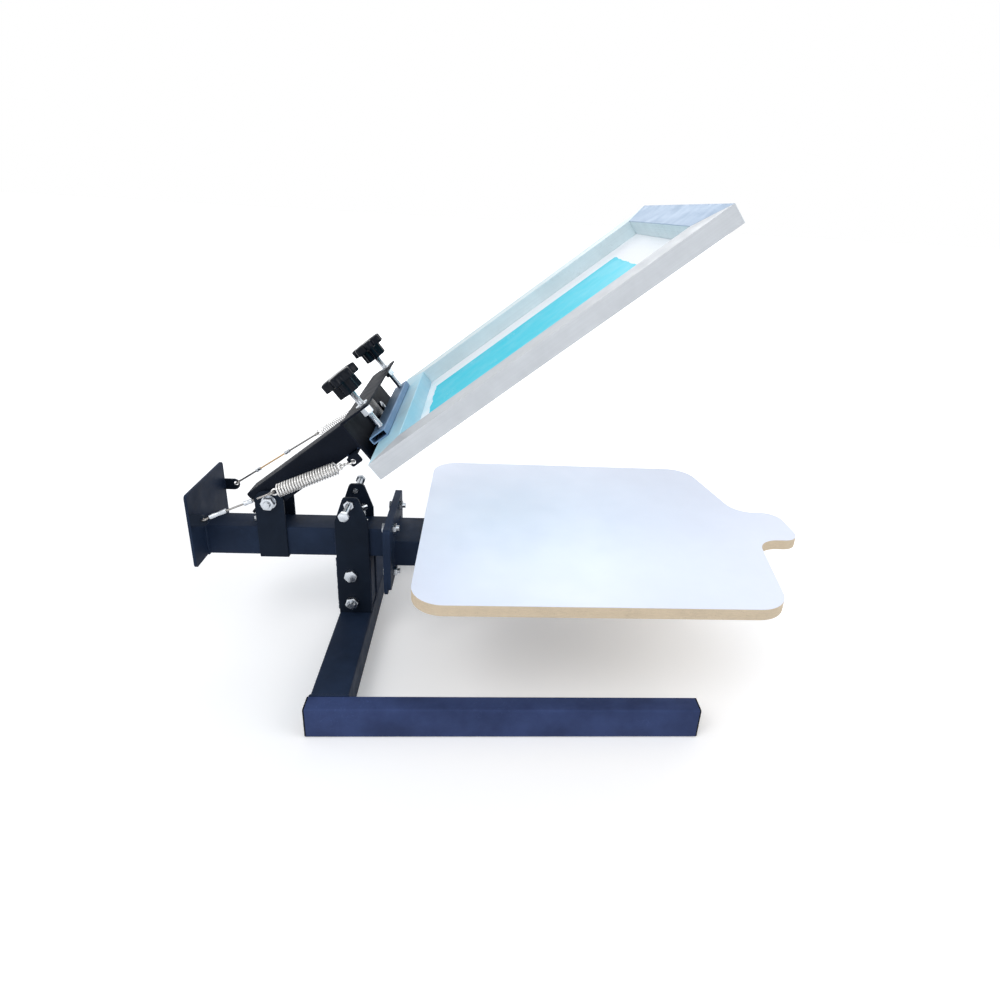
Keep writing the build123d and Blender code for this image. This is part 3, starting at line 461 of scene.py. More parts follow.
def moulded_plastic(name, base):
    """Hard black plastic with a glossy skin."""
    material, tree, principled, place = shaded(name, base, specular=0.12)
    tone = blotches(tree, place, 90.0)
    toned = mix_colour(tree, tone, shade_of(base, 0.85), shade_of(base, 1.2))
    tree.links.new(toned, principled.inputs["Base Color"])
    add_gloss(tree, principled, place, 60.0, (0.16, 0.26))
    add_grain(tree, principled, place, 900.0, 1.0, 0.01 * MM, 0.4)
    return material


def plated(name, base, metallic=1.0, rough=(0.22, 0.36), dull=0.9):
    """Zinc-plated or bright steel, with cloudy plating and handling marks."""
    material, tree, principled, place = shaded(name, base, metallic=metallic)
    cloud = blotches(tree, place, 130.0)
    toned = mix_colour(tree, cloud, shade_of(base, dull), shade_of(base, 1.05))
    dulled = calculate(tree, "MULTIPLY", scratches(tree, place, 160.0, 0.02), 0.25)
    marked = mix_colour(tree, dulled, toned, shade_of(base, 0.6))
    tree.links.new(marked, principled.inputs["Base Color"])
    add_gloss(tree, principled, place, 260.0, rough)
    add_grain(tree, principled, place, 1800.0, 3.0, 0.02 * MM, 0.4)
    return material


def extruded_aluminium(name, base, direction, tint=None, top=None):
    """Mill-finish aluminium: die lines, hazy patches, rubs of ink, and a painted reflection on its
    top face.
    """
    material, tree, principled, place = shaded(name, base, metallic=0.38, specular=0.25)
    lengthwise = turned(tree, place, direction)
    lines = use_group(tree, "Streaks", {"Vector": lengthwise, "Along": 5.0, "Across": 700.0})
    drawn = mix_colour(tree, lines, shade_of(base, 0.9), shade_of(base, 1.08))
    cloud = blotches(tree, place, 26.0, (0.0, 0.6))
    hazy = mix_colour(tree, cloud, drawn, shade_of(base, 0.86))
    marks = scratches(tree, place, 48.0, 0.01)
    scuffed = mix_colour(tree, marks, hazy, shade_of(base, 0.74))
    if tint:
        wash = blotches(tree, place, 9.0, (0.1, 0.85))
        scuffed = mix_colour(tree, wash, scuffed, tint)
    # painted reflection: the strip along the top face is coloured darker and bluish, as light falls
    # on it
    if top:
        upright = turned(tree, place, ACROSS)
        level = add_node(tree, "ShaderNodeSeparateXYZ", {"Vector": upright}).outputs["X"]
        height = PIVOT.dot(ACROSS) + arm_span("screen_far_rail")[1][2]
        painted_top_reflection = rescale(tree, level, (height - 1.2 * MM, height - 0.4 * MM))
        scuffed = mix_colour(tree, painted_top_reflection, scuffed, top)
    tree.links.new(scuffed, principled.inputs["Base Color"])
    add_gloss(tree, principled, place, 45.0, (0.46, 0.62))
    add_bump(tree, principled, lines, 0.04 * MM, 0.35)
    return material


def laminate_face(name, base):
    """Smooth white laminate with a faint pebble and handling haze."""
    material, tree, principled, place = shaded(name, base)
    haze = blotches(tree, place, 5.0)
    toned = mix_colour(tree, haze, shade_of(base, 0.965), shade_of(base, 1.02))
    tree.links.new(toned, principled.inputs["Base Color"])
    add_gloss(tree, principled, place, 22.0, (0.3, 0.42))
    add_grain(tree, principled, place, 700.0, 2.0, 0.04 * MM, 0.4)
    return material


def sawn_fibreboard(name, base):
    """Edge of fibreboard: pressed fibres in flat layers, lighter patches and dark flecks."""
    material, tree, principled, place = shaded(name, base, rough=0.86)
    squashed = add_node(
        tree, "ShaderNodeMapping", {"Vector": place, "Scale": (180.0, 180.0, 900.0)}
    )
    fibres = add_node(
        tree,
        "ShaderNodeTexNoise",
        {"Vector": squashed.outputs[0], "Scale": 1.0, "Detail": 6.0, "Roughness": 0.7},
    ).outputs[0]
    toned = mix_colour(tree, fibres, shade_of(base, 0.7), shade_of(base, 1.22))
    flecks = add_node(
        tree, "ShaderNodeTexVoronoi", {"Vector": place, "Scale": 420.0, "Randomness": 1.0}
    )
    dark = rescale(tree, flecks.outputs[0], (0.05, 0.22), (0.55, 0.0))
    flecked = mix_colour(tree, dark, toned, shade_of(base, 0.4))
    layers = blotches(tree, place, 30.0, (0.0, 0.3))
    layered = mix_colour(tree, layers, flecked, shade_of(base, 1.2))
    tree.links.new(layered, principled.inputs["Base Color"])
    add_bump(tree, principled, fibres, 0.25 * MM, 0.6)
    return material


def woven_mesh(name, base, stain):
    """Fine plain weave of the screen, smeared with emulsion towards the clamp."""
    material, tree, principled, place = shaded(name, base, rough=0.55, specular=0.3)
    flat = turned(tree, place, ALONG)
    threads = []
    for axis in ("X", "Y"):
        wave = add_node(
            tree,
            "ShaderNodeTexWave",
            {"Vector": flat, "Scale": 420.0},
            wave_type="BANDS",
            bands_direction=axis,
        )
        threads.append(wave.outputs[1])
    weave = calculate(tree, "MAXIMUM", *threads)
    gaps = mix_colour(tree, weave, shade_of(base, 0.9), shade_of(base, 1.04))
    smear = calculate(tree, "MAXIMUM", blotches(tree, place, 24.0, (-0.4, 0.8)), 0.0)
    along = add_node(tree, "ShaderNodeSeparateXYZ", {"Vector": flat}).outputs["X"]
    near = PIVOT.dot(ALONG) + arm_span("screen_mesh")[0][0]
    fade = rescale(tree, along, (near, near + 60 * MM), (1.0, 0.0))
    stained = mix_colour(tree, calculate(tree, "MULTIPLY", smear, fade), gaps, stain)
    tree.links.new(stained, principled.inputs["Base Color"])
    add_bump(tree, principled, weave, 0.05 * MM, 0.5)
    return material


def dried_emulsion(name, base):
    """Smooth cyan stencil coat with a few light scrape marks."""
    material, tree, principled, place = shaded(name, base, specular=0.15)
    flat = turned(tree, place, ALONG)
    strokes = use_group(tree, "Streaks", {"Vector": flat, "Along": 4.0, "Across": 40.0})
    toned = mix_colour(tree, strokes, shade_of(base, 0.95), shade_of(base, 1.05))
    faint = calculate(tree, "MULTIPLY", scratches(tree, place, 30.0, 0.02), 0.5)
    light = tuple(value * 0.4 + 0.6 for value in base)
    tree.links.new(mix_colour(tree, faint, toned, light), principled.inputs["Base Color"])
    add_gloss(tree, principled, place, 30.0, (0.34, 0.46))
    add_bump(tree, principled, strokes, 0.02 * MM, 0.2)
    return material


FINISHES = {}


def make_finishes(colours):
    """Every material of the press, by the name the pieces use."""
    cyan_wash = colour(170, 216, 232)
    FINISHES.update(
        blue_paint=powder_coat("blue_powder_coat", tuple(colours.blue_paint)),
        beam_paint=powder_coat("dark_blue_powder_coat", tuple(colours.beam_paint)),
        black_paint=powder_coat("black_powder_coat", tuple(colours.black_paint)),
        arm_paint=powder_coat("arm_powder_coat", tuple(colours.arm_paint)),
        weld=powder_coat("painted_weld", tuple(colours.beam_paint), (0.4, 0.5)),
        black_plastic=moulded_plastic("moulded_black_plastic", tuple(colours.black_plastic)),
        zinc=plated("zinc_plate", tuple(colours.zinc)),
        spring_steel=plated("spring_steel", tuple(colours.spring_steel), 0.8, (0.3, 0.36), 0.96),
        link_wire=plated("link_wire", tuple(colours.link_wire)),
        brass=plated("brass_rod", tuple(colours.brass)),
        side_rail=extruded_aluminium("aluminium_side_rail", tuple(colours.aluminium), ALONG),
        # painted light: the back and far rails take the paler aluminium copy
        back_rail=extruded_aluminium("aluminium_back_rail", tuple(colours.painted_lit_rail), ALONG),
        far_rail=extruded_aluminium(
            "aluminium_far_rail",
            tuple(colours.painted_lit_rail),
            SIDEWAYS,
            top=tuple(colours.rail_top_reflection),
        ),
        near_rail=extruded_aluminium(
            "aluminium_near_rail", tuple(colours.near_rail), SIDEWAYS, cyan_wash
        ),
        clamp_bar=extruded_aluminium("aluminium_clamp_bar", tuple(colours.clamp_bar), SIDEWAYS),
        laminate=laminate_face("white_laminate", tuple(colours.laminate)),
        fibreboard=sawn_fibreboard("fibreboard_edge", tuple(colours.fibreboard)),
        mesh=woven_mesh("screen_mesh", tuple(colours.mesh), colour(150, 222, 234)),
        emulsion=dried_emulsion("dried_emulsion", tuple(colours.emulsion)),
    )


# ---------------------------------------------------------------- mesh tools
def new_piece(name, bm, material, smooth_angle=35):
    """Object at the origin from a bmesh, smooth except at sharp edges."""
    bmesh.ops.remove_doubles(bm, verts=bm.verts, dist=1e-7)
    bmesh.ops.recalc_face_normals(bm, faces=bm.faces)
    mesh = bpy.data.meshes.new(name)
    bm.to_mesh(mesh)
    bm.free()
    mesh.materials.append(material)
    mesh.shade_smooth()
    mesh.set_sharp_from_angle(angle=radians(smooth_angle))
    piece = bpy.data.objects.new(name, mesh)
    bpy.context.scene.collection.objects.link(piece)
    return piece


def settle(piece, body, nodes=()):
    """Puts a finished piece on its body and hides the CAD nodes it stands for."""
    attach(piece, body)
    if nodes:
        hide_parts(*nodes)


def dress(node, name, bm, finish, smooth_angle=35, hides=True):
    """Finished piece on a CAD node's body, which hides the node unless it is only trim."""
    piece = new_piece(name, bm, FINISHES[finish], smooth_angle)
    settle(piece, BODY_OF[node], [node] if hides else ())


def bake(piece):
    """Applies the piece's modifiers, so that it is a plain mesh."""
    graph = bpy.context.evaluated_depsgraph_get()
    mesh = bpy.data.meshes.new_from_object(piece.evaluated_get(graph))
    piece.modifiers.clear()
    piece.data = mesh
    return piece


def skin(bm, rings, closed=False, cap_start=True, cap_end=True):
    """Faces between rings of points, each with as many points as the next."""
    made = [[bm.verts.new(point) for point in ring] for ring in rings]
    pairs = list(zip(made, made[1:]))
    if closed:
        pairs.append((made[-1], made[0]))
    for first, second in pairs:
        count = len(first)
        for i in range(count):
            following = (i + 1) % count
            bm.faces.new((first[i], first[following], second[following], second[i]))
    if not closed and cap_start:
        bm.faces.new(list(reversed(made[0])))
    if not closed and cap_end:
        bm.faces.new(made[-1])


def ring_at(matrix, outline, height):
    """Outline of (x, y) points at a height of the matrix's own Z."""
    return [matrix @ Vector((x, y, height)) for x, y in outline]


def rounded_rectangle(width, height, radius, steps=5):
    """Points of a rectangle with round corners, round its middle."""
    points = []
    for corner, (sx, sy) in enumerate(((1, 1), (-1, 1), (-1, -1), (1, -1))):
        for step in range(steps + 1):
            angle = (corner + step / steps) * pi / 2
            points.append(
                (
                    sx * (width / 2 - radius) + radius * cos(angle),
                    sy * (height / 2 - radius) + radius * sin(angle),
                )
            )
    return points


def circle(radius, segments=32):
    """Points of a circle round the origin."""
    return [
        (radius * cos(2 * pi * i / segments), radius * sin(2 * pi * i / segments))
        for i in range(segments)
    ]


def square_tube(bm, matrix, width, height, wall, corner, length, edge=0.35 * MM):
    """Tube with round corners along the matrix's Z, with softened rims."""
    outer = rounded_rectangle(width, height, corner)
    rim = rounded_rectangle(width - 2 * edge, height - 2 * edge, corner - edge)
    inner = rounded_rectangle(width - 2 * wall, height - 2 * wall, max(corner - wall, edge))
    rings = [
        ring_at(matrix, outer, edge),
        ring_at(matrix, outer, length - edge),
        ring_at(matrix, rim, length),
        ring_at(matrix, inner, length),
        ring_at(matrix, inner, 0),
        ring_at(matrix, rim, 0),
    ]
    skin(bm, rings, closed=True)


def turned_solid(bm, matrix, profile, segments=40):
    """Solid of revolution from (radius, height) points, closed flat at both ends."""
    skin(bm, [ring_at(matrix, circle(radius, segments), height) for radius, height in profile])


def hexagon(across_flats, limit, segments=48):
    """Hexagon outline whose corners are cut back to a radius limit."""
    points = []
    for i in range(segments):
        angle = 2 * pi * i / segments
        folded = (angle + pi / 6) % (pi / 3) - pi / 6
        radius = min(across_flats / 2 / cos(folded), limit)
        points.append((radius * cos(angle), radius * sin(angle)))
    return points


def hexagon_head(bm, matrix, across_flats, height, bore=0.0, both=False):
    """Hexagon with chamfered corners: one end for a bolt head, both ends for a nut."""
    corner = across_flats / 2 / cos(pi / 6)
    face = across_flats / 2 * 0.96

    def chamfered(level, towards):
        """Ring of the hexagon's side, pulled in at the corners where the chamfer cuts them."""
        points = []
        for x, y in hexagon(across_flats, corner):
            reach = (x * x + y * y) ** 0.5
            drop = towards * (reach - face) * tan(radians(30))
            points.append(matrix @ Vector((x, y, level - drop)))
        return points

    rings = []
    if both:
        rings += [ring_at(matrix, circle(face, 48), 0), chamfered(0, -1)]
    else:
        rings += [ring_at(matrix, hexagon(across_flats, corner), 0)]
    rings += [chamfered(height, 1), ring_at(matrix, circle(face, 48), height)]
    if bore:
        lead = bore * 1.08
        rings += [
            ring_at(matrix, circle(lead, 48), height),
            ring_at(matrix, circle(bore, 48), height - lead + bore),
            ring_at(matrix, circle(bore, 48), lead - bore),
            ring_at(matrix, circle(lead, 48), 0),
        ]
    skin(bm, rings, closed=bool(bore))


def thread(bm, matrix, radius, pitch, length, segments=28):
    """Screw thread along the matrix's Z, with a chamfer at its far end."""
    depth = pitch * 0.32
    steps = 5
    count = int(length / pitch * steps)
    rings = []
    for step in range(count + 1):
        height = length * step / count
        taper = min(1, (length - height) / pitch + 0.5)
        ring = []
        for i in range(segments):
            phase = (height / pitch - i / segments) % 1
            cut = depth * (1 - abs(2 * phase - 1))
            reach = min(radius - cut, radius - depth * (1 - taper))
            angle = 2 * pi * i / segments
            ring.append(matrix @ Vector((reach * cos(angle), reach * sin(angle), height)))
        rings.append(ring)
    skin(bm, rings)


def wire(bm, points, radius, sides=10, closed=False):
    """Round wire through the points."""
    count = len(points)
    tangents = []
    for i in range(count):
        before = points[i - 1] if i or closed else points[0]
        after = points[(i + 1) % count] if i < count - 1 or closed else points[-1]
        tangents.append((after - before).normalized())
    normal = tangents[0].orthogonal().normalized()
    rings = []
    for i, point in enumerate(points):
        if i:
            normal = tangents[i - 1].rotation_difference(tangents[i]) @ normal
        normal = (normal - tangents[i] * normal.dot(tangents[i])).normalized()
        second = tangents[i].cross(normal)
        ring = []
        for k in range(sides):
            angle = 2 * pi * k / sides
            ring.append(point + (normal * cos(angle) + second * sin(angle)) * radius)
        rings.append(ring)
    skin(bm, rings, closed=closed)


def softened(node, width, material, segments):
    """Copy of a CAD node with its sharp edges rounded."""
    bm = bmesh.new()
    bm.from_mesh(frame["nodes"][node].data)
    bmesh.ops.remove_doubles(bm, verts=bm.verts, dist=1e-6)
    bmesh.ops.dissolve_limit(bm, angle_limit=radians(1), verts=bm.verts, edges=bm.edges)
    piece = new_piece(f"{node}_softened", bm, material)
    rounding = piece.modifiers.new("Rounding", "BEVEL")
    rounding.width = width
    rounding.segments = segments
    rounding.limit_method = "ANGLE"
    rounding.angle_limit = radians(35)
    rounding.harden_normals = True
    bake(piece)
    return piece


def soften_nodes(nodes, width, finish, segments=3):
    """Rounded copies of several CAD nodes, each in its own node's place."""
    for node in nodes:
        piece = softened(node, width, FINISHES[finish], segments)
        settle(piece, BODY_OF[node], [node])


# ---------------------------------------------------------------- geometry node trees
def new_geometry_tree(name, inputs):
    """Empty geometry tree with named inputs, each (name, socket type, default)."""
    tree = bpy.data.node_groups.new(name, "GeometryNodeTree")
    tree.interface.new_socket(name="Geometry", in_out="INPUT", socket_type="NodeSocketGeometry")
    for socket, kind, default in inputs:
        made = tree.interface.new_socket(name=socket, in_out="INPUT", socket_type=kind)
        if default is not None:
            made.default_value = default
    tree.interface.new_socket(name="Geometry", in_out="OUTPUT", socket_type="NodeSocketGeometry")
    return tree, tree.nodes.new("NodeGroupInput").outputs, tree.nodes.new("NodeGroupOutput").inputs


def close_tree(tree, geometry, given, result):
    """Ends a tree with real geometry in the finish that its input names."""
    real = add_node(tree, "GeometryNodeRealizeInstances", {"Geometry": geometry})
    smooth = add_node(tree, "GeometryNodeSetShadeSmooth", {"Geometry": real.outputs[0]})
    inputs = {"Geometry": smooth.outputs[0], "Material": given["Finish"]}
    finish = add_node(tree, "GeometryNodeSetMaterial", inputs)
    tree.links.new(finish.outputs[0], result["Geometry"])
    return tree


def weld_tree():
    """Rippled weld bead along every edge of a wire mesh."""
    tree, given, result = new_geometry_tree(
        "Weld Bead",
        [
            ("Half Width", "NodeSocketFloat", 2.0 * MM),
            ("Ripple", "NodeSocketFloat", 1.6 * MM),
            ("Finish", "NodeSocketMaterial", None),
        ],
    )
    path = add_node(tree, "GeometryNodeMeshToCurve", {"Mesh": given["Geometry"]})
    steps = add_node(
        tree,
        "GeometryNodeResampleCurve",
        {"Curve": path.outputs[0], "Length": given["Ripple"]},
        mode="LENGTH",
    )
    tangent = add_node(tree, "GeometryNodeInputTangent")
    facing = add_node(
        tree, "FunctionNodeAlignRotationToVector", {"Vector": tangent.outputs[0]}, axis="Z"
    )
    uneven = add_node(tree, "FunctionNodeRandomValue", {2: 0.85, 3: 1.12}, data_type="FLOAT")
    width = calculate(tree, "MULTIPLY", given["Half Width"], uneven.outputs[1])
    size = add_node(
        tree, "ShaderNodeCombineXYZ", {"X": width, "Y": width, "Z": given["Ripple"]}
    )
    drop = add_node(tree, "GeometryNodeMeshIcoSphere", {"Radius": 1.0, "Subdivisions": 2})
    beads = add_node(
        tree,
        "GeometryNodeInstanceOnPoints",
        {
            "Points": steps.outputs[0],
            "Instance": drop.outputs[0],
            "Rotation": facing.outputs[0],
            "Scale": size.outputs[0],
        },
    )
    return close_tree(tree, beads.outputs[0], given, result)


def fastener_tree():
    """Copies of one fastener, drawn on the origin along +Z, on a grid that is then put in place."""
    tree, given, result = new_geometry_tree(
        "Fastener Grid",
        [
            ("Columns", "NodeSocketInt", 2),
            ("Rows", "NodeSocketInt", 2),
            ("Column Gap", "NodeSocketFloat", 0.05),
            ("Row Gap", "NodeSocketFloat", 0.05),
            ("Place", "NodeSocketVector", None),
            ("Facing", "NodeSocketRotation", None),
            ("Finish", "NodeSocketMaterial", None),
        ],
    )
    spans = []
    for count, gap in (("Columns", "Column Gap"), ("Rows", "Row Gap")):
        steps = calculate(tree, "SUBTRACT", given[count], 1.0)
        spans.append(calculate(tree, "MULTIPLY", steps, given[gap]))
    grid = add_node(
        tree,
        "GeometryNodeMeshGrid",
        {
            "Size X": spans[0],
            "Size Y": spans[1],
            "Vertices X": given["Columns"],
            "Vertices Y": given["Rows"],
        },
    )
    turn = add_node(tree, "FunctionNodeRandomValue", {2: 0.0, 3: 1.0}, data_type="FLOAT")
    spin = add_node(tree, "ShaderNodeCombineXYZ", {"Z": turn.outputs[1]})
    copies = add_node(
        tree,
        "GeometryNodeInstanceOnPoints",
        {"Points": grid.outputs[0], "Instance": given["Geometry"], "Rotation": spin.outputs[0]},
    )
    placed = add_node(
        tree,
        "GeometryNodeTransform",
        {
            "Geometry": copies.outputs[0],
            "Translation": given["Place"],
            "Rotation": given["Facing"],
        },
    )
    return close_tree(tree, placed.outputs[0], given, result)


def coil_tree():
    """Helical spring from the origin along +Z, put in place."""
    tree, given, result = new_geometry_tree(
        "Coil",
        [
            ("Turns", "NodeSocketFloat", 20.0),
            ("Coil Radius", "NodeSocketFloat", 8.0 * MM),
            ("Wire Radius", "NodeSocketFloat", 1.0 * MM),
            ("Length", "NodeSocketFloat", 80.0 * MM),
            ("Place", "NodeSocketVector", None),
            ("Facing", "NodeSocketRotation", None),
            ("Finish", "NodeSocketMaterial", None),
        ],
    )
    route = add_node(
        tree,
        "GeometryNodeCurveSpiral",
        {
            "Resolution": 28,
            "Rotations": given["Turns"],
            "Start Radius": given["Coil Radius"],
            "End Radius": given["Coil Radius"],
            "Height": given["Length"],
        },
    )
    section = add_node(
        tree,
        "GeometryNodeCurvePrimitiveCircle",
        {"Resolution": 10, "Radius": given["Wire Radius"]},
    )
    turns = add_node(
        tree,
        "GeometryNodeCurveToMesh",
        {"Curve": route.outputs[0], "Profile Curve": section.outputs[0], "Fill Caps": True},
    )
    placed = add_node(
        tree,
        "GeometryNodeTransform",
        {
            "Geometry": turns.outputs[0],
            "Translation": given["Place"],
            "Rotation": given["Facing"],
        },
    )
    return close_tree(tree, placed.outputs[0], given, result)


def grown(piece, tree, values):
    """Runs a geometry tree on a piece with these input values, and keeps the mesh it makes."""
    maker = piece.modifiers.new(tree.name, "NODES")
    maker.node_group = tree
    for item in tree.interface.items_tree:
        if item.in_out == "INPUT" and item.name in values:
            maker[item.identifier] = values[item.name]
    bake(piece)
    return piece


def grown_once(name):
    """Geometry tree by name, built the first time it is asked for."""
    makers = {"Weld Bead": weld_tree, "Fastener Grid": fastener_tree, "Coil": coil_tree}
    return bpy.data.node_groups.get(name) or makers[name]()


# ---------------------------------------------------------------- stand
def box_of(node):
    """Lowest corner, highest corner and middle of a CAD node."""
    low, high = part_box(node)
    low, high = Vector(low), Vector(high)
    return low, high, (low + high) / 2


def tube_piece(node, axis, corner, wall, finish):
    """Square tube with round corners that fills a straight CAD tube's box along X, Y or Z."""
    low, high, middle = box_of(node)
    size = high - low
    start = middle.copy()
    start[axis] = low[axis]
    second, third = (axis + 1) % 3, (axis + 2) % 3
    unit = Matrix.Identity(3)
    turn = Matrix((unit[second], unit[third], unit[axis])).transposed()
    place = Matrix.Translation(start) @ turn.to_4x4()
    bm = bmesh.new()
    square_tube(bm, place, size[second], size[third], wall, corner, size[axis])
    dress(node, f"{node}_tube", bm, finish)


def plug(bm, place, width, height, corner):
    """Moulded plug in a tube's end, seen as a flat flange with a soft rim."""
    edge = 0.8 * MM
    full = rounded_rectangle(width, height, corner)
    drawn_in = rounded_rectangle(width - 2 * edge, height - 2 * edge, corner - edge * 0.6)
    half_in = rounded_rectangle(width - edge * 0.6, height - edge * 0.6, corner - edge * 0.2)
    skin(
        bm,
        [
            ring_at(place, full, 0),
            ring_at(place, full, PLUG_FLANGE - edge),
            ring_at(place, half_in, PLUG_FLANGE - edge * 0.3),
            ring_at(place, drawn_in, PLUG_FLANGE),
        ],
    )


def across_x(middle, outward):
    """Matrix at a place with +Z along the given side of X."""
    turn = Matrix(((0, 0, 1), (1, 0, 0), (0, 1, 0)))
    if outward < 0:
        turn = Matrix(((0, 0, -1), (-1, 0, 0), (0, 1, 0)))
    return Matrix.Translation(middle) @ turn.to_4x4()


def add_stand(sizes):
    """Stand's tubes, plates and plugs."""
    corner = sizes.tube_corner
    for node, axis, wall, finish in (
        ("base_front_tube", 0, BASE_WALL, "blue_paint"),
        ("base_rear_tube", 0, BASE_WALL, "blue_paint"),
        ("base_cross_tube", 1, BASE_WALL, "beam_paint"),
        ("post", 2, BEAM_WALL, "beam_paint"),
        ("beam", 0, BEAM_WALL, "beam_paint"),
        ("pallet_arm", 0, BEAM_WALL, "beam_paint"),
    ):
        tube_piece(node, axis, corner, wall, finish)
    beam_plates = ["end_plate", "beam_flange", "pallet_flange", "pallet_plate"]
    soften_nodes(beam_plates, sizes.plate_edge, "beam_paint")
    black_plates = ["spring_ears", "front_gate_plate", "back_gate_plate", "hinge_bracket"]
    soften_nodes(black_plates, sizes.plate_edge, "black_paint")

    for node, name, tubes, ends in (
        ("base_end_caps", "base_plugs", ("base_front_tube", "base_rear_tube"), (-1, 1)),
        ("pallet_arm_plug", "pallet_arm_end", ("pallet_arm",), (1,)),
    ):
        bm = bmesh.new()
        for tube in tubes:
            low, high, middle = box_of(tube)
            for outward in ends:
                end_x = high.x if outward > 0 else low.x
                place = across_x(Vector((end_x, middle.y, middle.z)), outward)
                plug(bm, place, high.y - low.y, high.z - low.z, corner)
        dress(node, name, bm, "black_plastic")


def add_edges(bm, points, closed=False):
    """Line of edges through the points."""
    made = [bm.verts.new(point) for point in points]
    for first, second in zip(made, made[1:]):
        bm.edges.new((first, second))
    if closed:
        bm.edges.new((made[-1], made[0]))


def add_loop_x(bm, x, node):
    """Line round a tube that runs along X, where it meets a plate."""
    low, high, _ = box_of(node)
    corners = ((low.y, low.z), (high.y, low.z), (high.y, high.z), (low.y, high.z))
    add_edges(bm, [Vector((x, y, z)) for y, z in corners], closed=True)


def weld_piece(name, bm, body, sizes):
    """Weld beads along the lines of a bmesh, on a body."""
    mesh = bpy.data.meshes.new(name)
    bm.to_mesh(mesh)
    bm.free()
    piece = bpy.data.objects.new(name, mesh)
    bpy.context.scene.collection.objects.link(piece)
    values = {
        "Half Width": sizes.weld_size,
        "Ripple": BEAD_RIPPLE,
        "Finish": FINISHES["weld"],
    }
    grown(piece, grown_once("Weld Bead"), values)
    settle(piece, body)


def add_stand_welds(sizes):
    """Beads where the stand's tubes and plates meet."""
    inset = 0.4 * MM
    bm = bmesh.new()
    cross_low, cross_high, _ = box_of("base_cross_tube")
    for y in (cross_low.y, cross_high.y):
        corners = [(cross_low.x, cross_low.z), (cross_low.x, cross_high.z)]
        corners += [(cross_high.x, cross_high.z), (cross_high.x, cross_low.z)]
        lifted = [Vector((x, y, z if z else 2 * sizes.weld_size)) for x, z in corners]
        add_edges(bm, lifted)
    post_low, post_high, _ = box_of("post")
    for z in (post_low.z, post_high.z):
        for x in (post_low.x, post_high.x):
            add_edges(bm, [Vector((x, post_low.y, z)), Vector((x, post_high.y, z))])
    for node in ("front_gate_plate", "back_gate_plate"):
        low, high, middle = box_of(node)
        inner_y = high.y if middle.y < 0 else low.y
        for x in (low.x, high.x):
            for foot, head in ((post_low.z + 6 * MM, post_high.z - 4 * MM), BEAM_BEAD):
                line = [Vector((x - inset, inner_y, z)) for z in (foot, head)]
                add_edges(bm, line)
    beam_low, beam_high, _ = box_of("beam")
    add_loop_x(bm, beam_low.x, "beam")
    add_loop_x(bm, beam_high.x, "beam")
    arm_low, _, _ = box_of("pallet_arm")
    add_loop_x(bm, arm_low.x, "pallet_arm")
    ears_low, ears_high, _ = box_of("spring_ears")
    for y in (ears_low.y + 4 * MM, ears_high.y - 4 * MM):
        foot, head = ears_low.z + 2 * MM, ears_high.z - 2 * MM
        add_edges(bm, [Vector((ears_low.x, y, foot)), Vector((ears_low.x, y, head))])
    weld_piece("stand_welds", bm, BODY_OF["beam"], sizes)


# ---------------------------------------------------------------- fasteners
def hexagon_bolt(bm, place, size, length, thread_from=0.0):
    """Hexagon bolt: head above the place, plain shank and thread below it."""
    hexagon_head(bm, place, size["flats"], size["head"])
    down = place @ Matrix.Rotation(pi, 4, "X")
    if thread_from > 0:
        turned_solid(bm, down, [(size["radius"], 0), (size["radius"], thread_from)], 28)
    start = down @ Matrix.Translation((0, 0, thread_from))
    thread(bm, start, size["radius"], size["pitch"], length - thread_from)


def hexagon_nut(bm, place, size, bore, height=None):
    """Hexagon nut on the place, with its bore as a share of the thread's radius."""
    hexagon_head(bm, place, size["flats"], height or size["nut"], size["radius"] * bore, both=True)


def ring_washer(bm, place, outer, inner, thickness):
    """Washer with broken edges, standing on the place."""
    edge = thickness * 0.18
    rings = [
        ring_at(place, circle(outer, 40), 0),
        ring_at(place, circle(outer, 40), thickness - edge),
        ring_at(place, circle(outer - edge, 40), thickness),
        ring_at(place, circle(inner, 40), thickness),
        ring_at(place, circle(inner, 40), 0),
    ]
    skin(bm, rings, closed=True)


def add_gate_fasteners():
    """Bolts and nuts through the gate plates, and the two registration screws."""
    bolt_x = box_of("gate_bolts")[2].x
    plates = box_of("back_gate_plate")[1].y
    length = 2 * plates + M10["nut"] + 5 * MM
    bm = bmesh.new()
    for side, z in zip((1, -1), GATE_BOLTS):
        seat = on_axis(Vector((bolt_x, side * plates, z)), SIDEWAYS * side, 0.3 * side)
        hexagon_bolt(bm, seat, M10, length, 2 * plates)
    dress("gate_bolts", "gate_bolts_threaded", bm, "zinc")

    bm = bmesh.new()
    for side, z in zip((-1, 1), GATE_BOLTS):
        seat = on_axis(Vector((bolt_x, side * plates, z)), SIDEWAYS * side, 0.7)
        hexagon_nut(bm, seat, M10, TIGHT)
    dress("gate_nuts", "gate_nuts_chamfered", bm, "zinc")

    bm = bmesh.new()
    nut_middle = box_of("registration_lock_nuts")[2]
    for side in (-1, 1):
        seat_at = Vector((nut_middle.x, side * plates, nut_middle.z))
        hexagon_nut(bm, on_axis(seat_at, SIDEWAYS * side, 0.2 + side), M8, CLEAR)
    dress("registration_lock_nuts", "registration_nuts_chamfered", bm, "zinc")

    for side, node in ((-1, "front_registration_screw"), (1, "back_registration_screw")):
        low, high, middle = box_of(node)
        head_top = high.y if side > 0 else -low.y
        tip = low.y if side > 0 else -high.y
        seat_y = head_top - M8["head"]
        seat = on_axis(Vector((middle.x, side * seat_y, middle.z)), SIDEWAYS * side, 0.35)
        bm = bmesh.new()
        hexagon_bolt(bm, seat, M8, seat_y - tip)
        dress(node, f"{node}_threaded", bm, "zinc")


